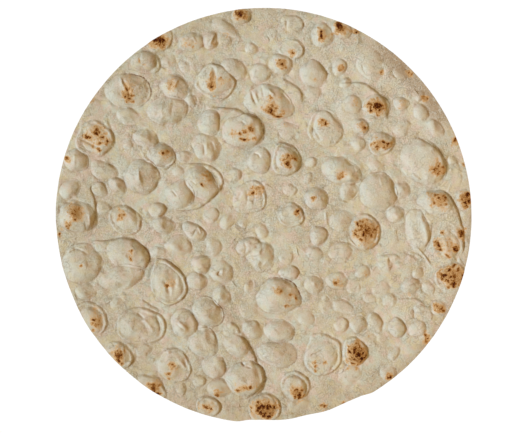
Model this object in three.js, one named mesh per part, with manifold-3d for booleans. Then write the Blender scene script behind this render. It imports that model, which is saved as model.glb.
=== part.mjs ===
// Oat flatbread from a tannour oven: one thin round of dough, blistered all over by the heat of the wall
// and cut out with a round cutter. It lies flat on its underside. Millimetres, +Z up, with the origin at
// the middle of the underside. Seen from above, +X is to the right and +Y away from the viewer.
import * as THREE from "three";
import { mergeVertices } from "three/addons/utils/BufferGeometryUtils.js";
import Module from "manifold-3d";

const wasm = await Module();
wasm.setup();

// Driving sizes of the sheet
const breadRadius = 150.4;
const sheetThickness = 2.4; // of the dough between its blisters
const overhang = 4; // how far the dough reaches past the cutter before it is cut
const sheetSteps = 56; // round the sheet
const topRings = [144, 136, 120, 90, 60, 30]; // radii of the rings of points on its faces
const bottomRings = [50, 112, 126, 140];
const outlineSteps = 90; // round the cutter
const cutterTop = 30;
const cutterBottom = -10;

// The cutter missed the end of the dough here, so the round is a little flat, and the edge waves
const flatBearing = 282;
const flatHalfWidth = 20;
const flatDepth = 2.2;
const flatSoftness = 4; // degrees over which the flat runs out into the round
const flatWave = 0.35;
const flatWaveDegrees = 12; // from one wave to the next

// The rim: thinner where the dough ran out, and lifted off the table in a few soft waves
const thinBearing = 32;
const thinHalfWidth = 75;
const thinFrom = 136;
const thinShare = 0.38;
const liftFrom = 112;
const liftHeight = 2.6;
const liftWaves = [
  { bearing: 70, halfWidth: 34, share: 0.7 },
  { bearing: 168, halfWidth: 30, share: 1 },
  { bearing: 245, halfWidth: 26, share: 0.55 },
  { bearing: 330, halfWidth: 38, share: 0.85 },
];

// How finely a blister is faceted
const facetLength = 7;
const fewestSides = 6;
const mostSides = 14;
const footSink = 0.9; // a blister starts this far down in the sheet
const ovalShare = 0.05; // how far an outline swells and shrinks, in two waves round it
const lobeShare = 0.035; // and in three

// The blisters' sections: share of the half width out from the middle, and share of the height there
const largeDomeSection = [
  [0.91, 0.45],
  [0.66, 0.83],
  [0.32, 0.98],
];
const domeSection = [
  [0.9, 0.48],
  [0.56, 0.9],
];
const smallDomeSection = [[0.74, 0.74]];
const skirtSection = [[0.86, 1]];
const largeFrom = 23; // mean width from which a dome has the large section
const smallBelow = 12;
const innerDomeShare = 0.8; // of a skirted blister's width, taken by the dome inside its skirt
const skirtHeightShare = 0.36;
const liftCore = 0.9; // a blister inside this share of a lift's outline stands on the lift

// Each blister is [x, y, length, width, turn in degrees, height above what it stands on].
// Broad low lifts, where the skin came away from the crumb under several blisters at once
const lifts = [
  [-66, 82, 40, 36, 0, 1.2], [-22, 63, 46, 32, -20, 1.6], [12, 83, 34, 33, 0, 1], [6, 40, 42, 25, 0, 1.4],
  [72, 77, 39, 35, -10, 1.6], [116, 38, 34, 33, 0, 1.6], [127, -8, 56, 31, 106, 2],
  [-105, -35, 48, 36, 0, 1.6], [-52, 19, 47, 33, -15, 1.2], [-26, -95, 78, 31, 119, 1.5],
  [-137, 5, 42, 34, 90, 1], [108, -71, 40, 25, -25, 0.9], [59, 27, 31, 31, 0, 0.9],
  [59, 130, 26, 18, -30, 0.8], [98, -36, 38, 18, -10, 0.9],
];

// Blisters that sank back a little, which left a skirt of loose skin round the foot
const skirted = [
  [-122, 56, 29, 25, -10, 4], [-75, 43, 22, 18, 0, 4.5], [-34, 97, 30, 27, 0, 5],
  [20, 120, 20, 15, 0, 2.8], [44, 64, 27, 24, 90, 4], [16, 40, 24, 21, 90, 5], [-44, 21, 31, 29, 50, 4.5],
  [-100, -3, 26, 21, -30, 3.6], [-69, -48, 34, 27, 115, 4.5], [-10, 13, 27, 23, 10, 2.6],
  [20, 1, 20, 17, 0, 4.2], [73, -12, 28, 22, 90, 4.2], [-124, -75, 24, 21, 90, 4],
  [-89, -80, 37, 24, -8, 4], [-66, -108, 26, 26, 0, 4], [0, -139, 24, 21, 0, 4.5],
  [22, -124, 21, 21, 0, 4.2], [42, -102, 30, 28, 70, 3.2], [66, -98, 20, 19, 90, 4.5],
  [-77, 128, 19, 19, 0, 4], [-86, 111, 22, 16, -5, 4], [-104, -102, 20, 19, 0, 4],
  [-80, -124, 23, 15, -30, 3], [-40, -138, 20, 15, 0, 3.5], [86, 52, 20, 17, 0, 4.5],
  [136, -44, 22, 21, 0, 4], [133, -22, 24, 19, 100, 2.5], [10, -101, 28, 17, -3, 4],
];

// Blisters that stayed full
const domes = [
  [-99, 90, 34, 24, 0, 6], [-66, 93, 19, 17, 0, 3.5], [-70, 76, 29, 20, -5, 5],
  [-100, 72, 16, 12, -15, 3], [-85, 56, 18, 12, -10, 3.5], [-53, 126, 18, 13, 0, 3],
  [-39, 127, 14, 11, 80, 2.5], [-26, 124, 17, 15, 90, 2], [-16, 145, 14, 13, 0, 3],
  [-28, 136, 22, 11, -32, 2.6], [-23, 106, 19, 15, -20, 3], [-1, 103, 15, 13, 0, 3.2],
  [12, 110, 17, 14, 0, 3.5], [20, 138, 17, 12, -10, 2.6], [42, 130, 18, 16, 90, 3.5],
  [56, 134, 14, 13, 0, 3], [3, 82, 36, 24, -12, 5.5], [35, 103, 21, 19, -50, 4.2],
  [54, 108, 12, 11, 0, 2.6], [-40, 66, 19, 17, 90, 3.8], [-15, 61, 29, 27, 0, 5.5],
  [-42, 49, 22, 19, -30, 4], [-4, 40, 18, 17, 90, 4.5], [81, 79, 18, 17, 0, 3.4],
  [65, 81, 14, 12, 0, 2.2], [71, 64, 13, 11, 0, 2.4], [100, 81, 12, 11, 0, 3],
  [77, 109, 24, 17, 110, 2.6], [-137, 40, 16, 16, 0, 3.6], [-140, 19, 15, 14, 0, 3],
  [-116, 32, 22, 13, -20, 2.2], [-119, 19, 13, 10, -40, 2.2], [-105, 21, 14, 10, -30, 2.6],
  [-90, 28, 27, 22, 0, 5.5], [-62, 15, 23, 20, -30, 4.2], [-77, 4, 13, 12, -40, 3],
  [-73, -7, 16, 12, -20, 3.2], [-135, -1, 28, 22, 0, 5], [-133, -35, 30, 27, -10, 5.5],
  [-99, -28, 33, 22, -12, 4.5], [-103, -45, 33, 17, 10, 4], [-62, -23, 18, 13, -10, 3.6],
  [-51, -12, 18, 13, -15, 3.8], [-129, -55, 14, 12, 0, 3], [-46, -35, 14, 12, -20, 3],
  [-48, -47, 16, 13, 100, 3.6], [38, 12, 18, 16, -20, 4.2], [39, -16, 14, 13, 0, 3.6],
  [-6, -29, 26, 23, -50, 4.5],
  [-31, -41, 18, 15, -15, 3.6], [-37, -22, 15, 12, 0, 2.2], [18, -41, 15, 11, 0, 3],
  [10, -60, 31, 28, -5, 6.5], [35, -51, 14, 13, -40, 2.4], [55, 30, 30, 22, -25, 4.5],
  [61, 17, 14, 11, 0, 3], [82, 17, 29, 26, -40, 5], [100, 19, 13, 11, -20, 2.8], [95, 1, 15, 13, 90, 3.6],
  [123, 33, 16, 13, 0, 2.6], [125, 9, 23, 16, -10, 3.4], [111, -12, 32, 19, 105, 3.8],
  [145, 12, 15, 14, 0, 3.2], [105, -49, 14, 12, 0, 3], [71, -41, 11, 9, 90, 2.4],
  [54, -48, 13, 12, 0, 2.8], [-58, -78, 21, 17, -40, 3.8], [-38, -69, 25, 18, -35, 4.8],
  [-31, -58, 16, 13, -60, 3], [-43, -92, 20, 18, -30, 4], [-14, -119, 27, 26, 0, 5],
  [-35, -109, 17, 15, -40, 3.4], [-32, -125, 17, 15, 0, 3.6], [-9, -83, 17, 12, -35, 3],
  [10, -84, 23, 18, -5, 4.6], [67, -79, 14, 12, 0, 3], [54, -77, 12, 10, 0, 2.4],
  [96, -82, 15, 12, 110, 3.4], [126, -67, 12, 11, 90, 2.8], [80, -76, 14, 10, 100, 2.6],
  [90, -114, 14, 12, -30, 2.4],
];

// Low soft ones, where the skin hardly rose
const soft = [
  [58, -27, 24, 16, -10, 1.8], [54, -6, 18, 16, 70, 1.8], [56, -66, 16, 11, -20, 1.6],
  [43, -62, 9, 8, 0, 1.3], [16, -30, 11, 9, 60, 1.5], [76, -90, 14, 10, 0, 1.1],
  [94, -100, 10, 8, 60, 1.6], [62, -115, 18, 15, 30, 1.8], [25, -137, 17, 10, 0, 1.4],
  [-87, -98, 11, 9, 0, 1.3], [-46, -120, 9, 8, 0, 1.6], [-26, -82, 9, 9, 0, 1.4],
  [-69, 112, 12, 9, 60, 1.4], [38, 88, 10, 9, 0, 1.2], [17, 62, 14, 12, 0, 1.4],
  [79, 38, 12, 9, -30, 1.2], [36, -26, 14, 12, -20, 1.8], [-12, -67, 16, 14, 0, 1.6],
  [89, -60, 12, 10, 0, 1.6], [-45, -81, 8, 7, 0, 1.4], [98, 65, 12, 10, 0, 1.2],
];

// The many small blisters between them are scattered by a seeded rule
const smallCount = 30;
const smallSeed = 20;
const drawFactor = 16807; // of the rule that makes each random draw from the last
const drawModulus = 2147483647;
const smallestWidth = 7;
const widestSmall = 11;
const smallClearance = 1.5;
const smallStretch = 0.35; // how much longer than wide one may be
const smallRise = 0.2; // height as a share of the width
const smallFromRim = 7;
const placingTries = 4000;

const radians = THREE.MathUtils.degToRad;

// 1 at a bearing, falling smoothly to 0 at halfWidth degrees on either side of it
function bump(bearing, middle, halfWidth) {
  const away = Math.abs(((bearing - middle + 540) % 360) - 180);
  return 1 - THREE.MathUtils.smoothstep(away, 0, halfWidth);
}

// A closed geometry as a solid, without the faces that have no area at a pole
function solidOf(geometry) {
  const bare = geometry.clone();
  bare.deleteAttribute("normal");
  bare.deleteAttribute("uv");
  const merged = mergeVertices(bare, 1e-4);
  const corners = merged.index.array;
  const kept = [];
  for (let i = 0; i < corners.length; i += 3) {
    const [a, b, c] = corners.slice(i, i + 3);
    if (a !== b && b !== c && c !== a) kept.push(a, b, c);
  }
  return new wasm.Manifold(
    new wasm.Mesh({
      numProp: 3,
      vertProperties: Float32Array.from(merged.attributes.position.array),
      triVerts: Uint32Array.from(kept),
    }),
  );
}

// The sheet of dough before it is cut, turned about the Z axis
function doughSheet() {
  const outer = breadRadius + overhang;
  const profile = [
    [0, 0],
    ...bottomRings.map((r) => [r, 0]),
    [outer, 0],
    [outer, sheetThickness],
    ...topRings.map((r) => [r, sheetThickness]),
    [0, sheetThickness],
  ];
  const sheet = new THREE.LatheGeometry(
    profile.map(([r, z]) => new THREE.Vector2(r, z)),
    sheetSteps,
  );
  return solidOf(sheet.rotateX(Math.PI / 2));
}

// The round that the cutter leaves, as a tall block with the bread's outline
function cutterBlock() {
  const outline = new THREE.Shape();
  for (let i = 0; i < outlineSteps; i++) {
    const bearing = (i * 360) / outlineSteps;
    const away = Math.abs(bearing - flatBearing);
    const flat = 1 - THREE.MathUtils.smoothstep(away, flatHalfWidth - flatSoftness, flatHalfWidth);
    const depth = flatDepth + flatWave * Math.cos((away * 2 * Math.PI) / flatWaveDegrees);
    const r = breadRadius - depth * flat;
    const x = r * Math.cos(radians(bearing));
    const y = r * Math.sin(radians(bearing));
    if (i === 0) outline.moveTo(x, y);
    else outline.lineTo(x, y);
  }
  const tall = { depth: cutterTop - cutterBottom, bevelEnabled: false };
  const block = new THREE.ExtrudeGeometry(outline, tall);
  return solidOf(block.translate(0, 0, cutterBottom));
}

// One blister: rings of an uneven oval, standing on a foot inside the sheet and closed by a top point
function blister([x, y, length, width, turn, height], section, floor) {
  const round = (Math.PI * (length + width)) / 2;
  const sides = THREE.MathUtils.clamp(Math.round(round / facetLength), fewestSides, mostSides);
  const rings = [[1, -footSink / height], [1, 0], ...section];
  const phase = x * 0.31 + y * 0.17; // so that no two outlines are alike
  const points = [];
  for (const [share, rise] of rings) {
    for (let i = 0; i < sides; i++) {
      const a = (i * 2 * Math.PI) / sides;
      const oval = ovalShare * Math.cos(2 * a + phase);
      const lobes = lobeShare * Math.cos(3 * a - 2 * phase);
      const uneven = 1 + oval + lobes;
      points.push(
        new THREE.Vector3(
          (length / 2) * share * uneven * Math.cos(a),
          (width / 2) * share * uneven * Math.sin(a),
          height * rise,
        ),
      );
    }
  }
  const bottom = points.length;
  points.push(new THREE.Vector3(0, 0, -footSink), new THREE.Vector3(0, 0, height));
  const faces = [];
  const ringStart = (ring) => ring * sides;
  for (let i = 0; i < sides; i++) {
    const next = (i + 1) % sides;
    faces.push(bottom, next, i);
    for (let ring = 0; ring + 1 < rings.length; ring++) {
      const low = ringStart(ring);
      const high = ringStart(ring + 1);
      faces.push(low + i, low + next, high + next, low + i, high + next, high + i);
    }
    const last = ringStart(rings.length - 1);
    faces.push(last + i, last + next, bottom + 1);
  }
  const geometry = new THREE.BufferGeometry().setFromPoints(points).setIndex(faces);
  geometry.rotateZ(radians(turn)).translate(x, y, sheetThickness + floor);
  return solidOf(geometry);
}

// The section that suits a dome's width
function sectionFor([, , length, width]) {
  const across = (length + width) / 2;
  if (across >= largeFrom) return largeDomeSection;
  return across < smallBelow ? smallDomeSection : domeSection;
}

// How high the broad lifts stand at a point, so that the blisters on them start from there
function liftAt(px, py) {
  let highest = 0;
  for (const [x, y, length, width, turn, height] of lifts) {
    const local = new THREE.Vector2(px - x, py - y).rotateAround(new THREE.Vector2(), -radians(turn));
    const out = Math.hypot(local.x / (length / 2), local.y / (width / 2));
    if (out < liftCore) highest = Math.max(highest, height);
  }
  return highest;
}

// Small blisters at random places, clear of the others; the draw is seeded
function smallBlisters() {
  let state = smallSeed;
  const draw = () => {
    state = (state * drawFactor) % drawModulus;
    return state / drawModulus;
  };
  const placed = [];
  const others = [...skirted, ...domes, ...soft];
  for (let tries = 0; placed.length < smallCount && tries < placingTries; tries++) {
    const r = (breadRadius - smallFromRim) * Math.sqrt(draw());
    const a = 2 * Math.PI * draw();
    const width = smallestWidth + (widestSmall - smallestWidth) * draw() ** 2;
    const stretch = 1 + smallStretch * draw();
    const turn = Math.round(180 * draw());
    const x = r * Math.cos(a);
    const y = r * Math.sin(a);
    const clear = [...others, ...placed].every(
      ([ox, oy, length, across]) =>
        Math.hypot(ox - x, oy - y) > (length + across) / 4 + width / 2 + smallClearance,
    );
    if (clear) placed.push([x, y, width * stretch, width, turn, width * smallRise]);
  }
  return placed;
}

// All blisters, each standing on the sheet or on the lift under it
function allBlisters() {
  const made = [];
  for (const one of lifts) made.push(blister(one, skirtSection, 0));
  for (const one of skirted) {
    const [x, y, length, width, turn, height] = one;
    const floor = liftAt(x, y);
    const skirtHeight = height * skirtHeightShare;
    const inner = [x, y, length * innerDomeShare, width * innerDomeShare, turn, height - skirtHeight];
    made.push(blister([x, y, length, width, turn, skirtHeight], skirtSection, floor));
    made.push(blister(inner, sectionFor(inner), floor + skirtHeight));
  }
  for (const one of [...domes, ...soft, ...smallBlisters()]) {
    made.push(blister(one, sectionFor(one), liftAt(one[0], one[1])));
  }
  return made;
}

// The rim's thinning and its soft lift off the table, put on every point of the cut bread
function settle(x, y, z) {
  const r = Math.hypot(x, y);
  const bearing = THREE.MathUtils.radToDeg(Math.atan2(y, x));
  const atRim = THREE.MathUtils.smoothstep(r, thinFrom, breadRadius);
  const thin = 1 - thinShare * atRim * bump(bearing, thinBearing, thinHalfWidth);
  const reach = THREE.MathUtils.clamp((r - liftFrom) / (breadRadius - liftFrom), 0, 1) ** 2;
  let lift = 0;
  for (const wave of liftWaves) lift += wave.share * bump(bearing, wave.bearing, wave.halfWidth);
  return z * thin + liftHeight * lift * reach;
}

function flatbreadGeometry() {
  const risen = allBlisters().reduce((joined, one) => joined.add(one), doughSheet());
  const mesh = risen.intersect(cutterBlock()).getMesh();
  const points = [];
  for (let i = 0; i < mesh.numVert; i++) {
    const [x, y, z] = mesh.vertProperties.subarray(i * mesh.numProp, i * mesh.numProp + 3);
    points.push(new THREE.Vector3(x, y, settle(x, y, z)));
  }
  const geometry = new THREE.BufferGeometry().setFromPoints(points).setIndex(Array.from(mesh.triVerts));
  geometry.computeVertexNormals();
  return geometry;
}

const bread = new THREE.Mesh(
  flatbreadGeometry(),
  new THREE.MeshStandardMaterial({ color: "#d9c8a8", roughness: 0.85, metalness: 0 }),
);
bread.name = "flatbread";

const root = new THREE.Group();
root.add(bread);
export default root;
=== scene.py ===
# An oat flatbread from a tannour oven, seen from straight above.
# Shapes are worked out in millimetres on a grid over the bread, and made in metres.
import math

import bpy
import numpy as np
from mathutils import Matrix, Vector


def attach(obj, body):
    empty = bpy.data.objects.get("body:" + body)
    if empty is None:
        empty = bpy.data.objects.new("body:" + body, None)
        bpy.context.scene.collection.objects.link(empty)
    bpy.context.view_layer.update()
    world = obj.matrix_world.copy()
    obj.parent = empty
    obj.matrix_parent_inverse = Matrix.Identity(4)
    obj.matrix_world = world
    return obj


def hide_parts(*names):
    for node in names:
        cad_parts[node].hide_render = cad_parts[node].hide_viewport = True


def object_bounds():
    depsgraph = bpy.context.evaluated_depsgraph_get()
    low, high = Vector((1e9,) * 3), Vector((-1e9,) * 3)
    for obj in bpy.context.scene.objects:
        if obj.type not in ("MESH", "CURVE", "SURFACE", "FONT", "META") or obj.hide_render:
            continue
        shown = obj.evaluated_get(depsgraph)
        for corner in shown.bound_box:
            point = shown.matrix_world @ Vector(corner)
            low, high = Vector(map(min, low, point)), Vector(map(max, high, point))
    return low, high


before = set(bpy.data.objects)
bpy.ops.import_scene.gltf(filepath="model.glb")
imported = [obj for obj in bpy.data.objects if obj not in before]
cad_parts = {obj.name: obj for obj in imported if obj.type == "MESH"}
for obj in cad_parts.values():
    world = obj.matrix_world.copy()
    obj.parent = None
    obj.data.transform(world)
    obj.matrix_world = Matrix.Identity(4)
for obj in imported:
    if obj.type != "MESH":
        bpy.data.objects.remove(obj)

cadLow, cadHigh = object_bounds()
mm = 0.001
breadRadius = (cadHigh.x - cadLow.x) / 2 / mm
print("frame loaded, bread radius in mm:", round(breadRadius, 1))

# Camera: straight above, framed as the photograph is
view = {
    "lens": 100,
    "sensor": 36,
    "width": 378.1,  # mm across the picture, at the height of the skin
    "aim": (-1.8, -0.65, 4),  # mm
    "nearest": 0.05,  # metres, the closest that it sees
}
cameraData = bpy.data.cameras.new("camera")
cameraData.lens = view["lens"]
cameraData.sensor_width = view["sensor"]
camera = bpy.data.objects.new("camera", cameraData)
bpy.context.scene.collection.objects.link(camera)
distance = view["width"] * view["lens"] / view["sensor"]
camera.location = Vector((view["aim"][0], view["aim"][1], view["aim"][2] + distance)) * mm
cameraData.clip_start = view["nearest"]
bpy.context.scene.camera = camera
bpy.context.scene.view_settings.view_transform = "Standard"
print("camera set")

# Lamps: a cool soft one from the left, a weak warm one from the right, and a dim warm room
lamps = {  # bearing and elevation in degrees, away and size in metres
    "key": {
        "bearing": 187,
        "elevation": 43,
        "away": 8,
        "size": 1.95,
        "watts": 924,
        "colour": (0.65, 0.765, 0.98),
    },
    "fill": {
        "bearing": 345,
        "elevation": 42,
        "away": 0.9,
        "size": 0.6,
        "watts": 2.5,
        "colour": (1.0, 0.58, 0.27),
    },
}
room = {
    "colour": (1.0, 0.885, 0.45),
    "strength": 0.38,
    "backdrop": 1.03,  # how bright the camera sees it past the floor's far edge
}
white = (1, 1, 1, 1)


def placeLamp(name, sizes):
    data = bpy.data.lights.new(name, "AREA")
    data.shape = "DISK"
    data.size = sizes["size"]
    data.energy = sizes["watts"]
    data.color = sizes["colour"]
    lamp = bpy.data.objects.new(name, data)
    bearing = math.radians(sizes["bearing"])
    elevation = math.radians(sizes["elevation"])
    flat = math.cos(elevation)
    towards = Vector((math.cos(bearing) * flat, math.sin(bearing) * flat, math.sin(elevation)))
    lamp.location = towards * sizes["away"]
    lamp.rotation_mode = "QUATERNION"
    lamp.rotation_quaternion = towards.to_track_quat("Z", "Y")
    bpy.context.scene.collection.objects.link(lamp)


for lampName, lampSizes in lamps.items():
    placeLamp(lampName, lampSizes)
world = bpy.data.worlds.new("room")
world.use_nodes = True
roomNodes = world.node_tree.nodes
roomLight = roomNodes["Background"]
roomLight.inputs["Color"].default_value = (*room["colour"], 1)
roomLight.inputs["Strength"].default_value = room["strength"]
backdrop = roomNodes.new("ShaderNodeBackground")
backdrop.inputs["Color"].default_value = white
backdrop.inputs["Strength"].default_value = room["backdrop"]
lightPath = roomNodes.new("ShaderNodeLightPath")
lightOrSeen = roomNodes.new("ShaderNodeMixShader")
for output, socket in [(lightPath.outputs["Is Camera Ray"], lightOrSeen.inputs[0]),
                       (roomLight.outputs[0], lightOrSeen.inputs[1]),
                       (backdrop.outputs[0], lightOrSeen.inputs[2]),
                       (lightOrSeen.outputs[0], roomNodes["World Output"].inputs["Surface"])]:
    world.node_tree.links.new(output, socket)
bpy.context.scene.world = world
print("lamps placed")

# The bread's form, in millimetres
dough = {
    "thickness": 2.4,
    "gridStep": 0.4,  # of the height field that the upper face is shaped in
    "margin": 3,  # of that grid, past the rim
    "crispBearing": 20,  # the side on which blisters end in a crisp foot
}
relief = {  # how uneven the skin is: spacing, height and seed of each wave, and how much longer along Y
    "sheet": {
        "swell": [(24, 0.4, 11), (9, 0.28, 12), (4.6, 0.17, 13), (2.4, 0.04, 14)],
        "creases": [(5.5, 0.3, 16), (2.4, 0.1, 17)],
        "lift": 0.2,
    },
    "blister": {
        "swell": [(8, 0.08, 22), (4, 0.05, 23)],
        "creases": [(10, 0.12, 24)],
        "lift": 0.08,
    },
    "wrinkles": {
        "swell": [(3, 0.16, 31, 2.2)],
        "creases": [(5, 0.36, 32, 1.6), (2.2, 0.1, 33, 1.8)],
        "lift": 0.28,
    },
}
warp = {"waves": [(9, 0.5), (4, 0.35)], "seedsX": (61, 62), "seedsY": (63, 64)}  # spacing, reach
outline = {  # the flattened stretch of the rim, in degrees and mm
    "flatBearing": 282,
    "flatHalfWidth": 20,
    "flatDepth": 2.2,
    "flatSoftness": 4,
    "flatWave": 0.35,
    "flatWaveDegrees": 12,
}
rim = {  # where it is thinner, and where it lifts off the table, in degrees and mm
    "thinBearing": 32,
    "thinHalfWidth": 75,
    "thinFrom": 136,
    "thinShare": 0.38,
    "liftFrom": 112,
    "liftHeight": 2.6,
    # bearing, half width in degrees, share
    "liftWaves": [(70, 34, 0.7), (168, 30, 1), (245, 26, 0.55), (330, 38, 0.85)],
}
facets = {  # flat planes of the skin: the bearing down each, its height and slope as shares of a blister's
    "planes": [(10, 0.93, 0.78), (192, 0.99, 0.5), (100, 1.05, 0.7), (285, 1.05, 0.65), (50, 1.12, 0.85)],
    "fuller": 0.3,  # how much higher they are on the fullest blister
    "softness": 0.02,  # of the edges between them
    "unevenness": 12,  # degrees
    "spread": 0.05,  # of their heights and slopes
    "roofTop": 0.95,  # height of the plane of a roof, below
    "foot": 0.07,  # share of the height, below which the skin turns into the sheet
}
blisters = {
    "fullness": 1.25,  # of the heights below, as the slack skin lowers them
    "flatter": 0.25,  # share of the height that the fullest lose
    "big": 50,  # mm, length and width together, from which one is at least half full
    "overhang": 0.05,  # how much further the crisp side reaches
    "ovalShare": 0.035,  # how far an outline swells and shrinks, in two waves round it
    "lobeShare": 0.025,  # and in three
    "fallCrisp": (1.6, 1.5),  # how steep the crisp side's foot is, and how much more on the fullest
    "fallFar": (2.5, 0.9),  # and the other side's
    "innerShare": 0.86,  # of a skirted blister's width, taken by the dome inside its ring
    "innerShift": 0.06,  # of its width, by which that dome lies to one side
    "innerHeight": 0.66,
    "innerLumps": 1.6,  # how much more uneven that dome is
    "innerTurn": (0.7, 1.3),  # by x and y, so that each lies to another side
    "lobeTurn": (0.31, 0.17),  # and so that the lobes do
    "fullSeed": (32, 24),  # by x and y, for a blister's own fullness
    "planeSeed": (31, 7),  # and for its planes
    "reach": 0.7,  # of the longer side, within which a row changes the grid
    "crispFrom": (-0.2, 0.9),  # cosine of the way round, where the crisp side starts and is full
    "pressed": (8, 0.3),  # mm from the rim, and the share of height that the cutter took there
    "puffedBy": 0.25,  # share of the height from which the skin counts as blister
}

# Blisters are rows of [x, y, length, width, turn, height], in mm and degrees.
# Broad low lifts, where the skin came away from the crumb under several blisters at once
lifts = [
    [-66, 82, 40, 36, 0, 1.2], [-22, 63, 46, 32, -20, 1.6], [12, 83, 34, 33, 0, 1], [6, 40, 42, 25, 0, 1.4],
    [72, 77, 39, 35, -10, 1.6], [116, 38, 34, 33, 0, 1.6], [127, -8, 56, 31, 106, 2],
    [-105, -35, 48, 36, 0, 1.6], [-52, 19, 47, 33, -15, 1.2], [-26, -95, 78, 31, 119, 1.5],
    [-137, 5, 42, 34, 90, 1], [108, -71, 40, 25, -25, 0.9], [59, 27, 31, 31, 0, 0.9],
    [59, 130, 26, 18, -30, 0.8], [98, -36, 38, 18, -10, 0.9],
]

# Blisters that sank back a little, each inside a ring of loose skin
skirted = [
    [-122, 56, 29, 25, -10, 4], [-33.5, 97, 30, 27, 0, 5], [20, 120, 20, 15, 0, 2.8],
    [16, 40, 24, 21, 90, 5], [-100, -3, 26, 21, -30, 3.6], [-69, -48, 34, 27, 115, 4.5],
    [-10, 13, 27, 23, 10, 2.6], [20, 1, 20, 17, 0, 4.2], [73, -12, 28, 22, 90, 4.2],
    [-124, -75, 24, 21, 90, 4], [-89, -80, 37, 24, -8, 4], [-66, -108, 26, 26, 0, 4],
    [0, -139, 24, 21, 0, 4.5], [22, -124, 21, 21, 0, 4.2], [42, -102, 30, 28, 70, 3.2],
    [66, -98, 20, 19, 90, 4.5], [-77, 128, 19, 19, 0, 4], [-86, 111, 22, 16, -5, 4],
    [-104, -102, 20, 19, 0, 4], [-80, -124, 23, 15, -30, 3], [-40, -138, 20, 15, 0, 3.5],
    [86, 52, 20, 17, 0, 4.5], [136, -44, 22, 21, 0, 4], [133, -22, 24, 19, 100, 2.5],
]

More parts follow.
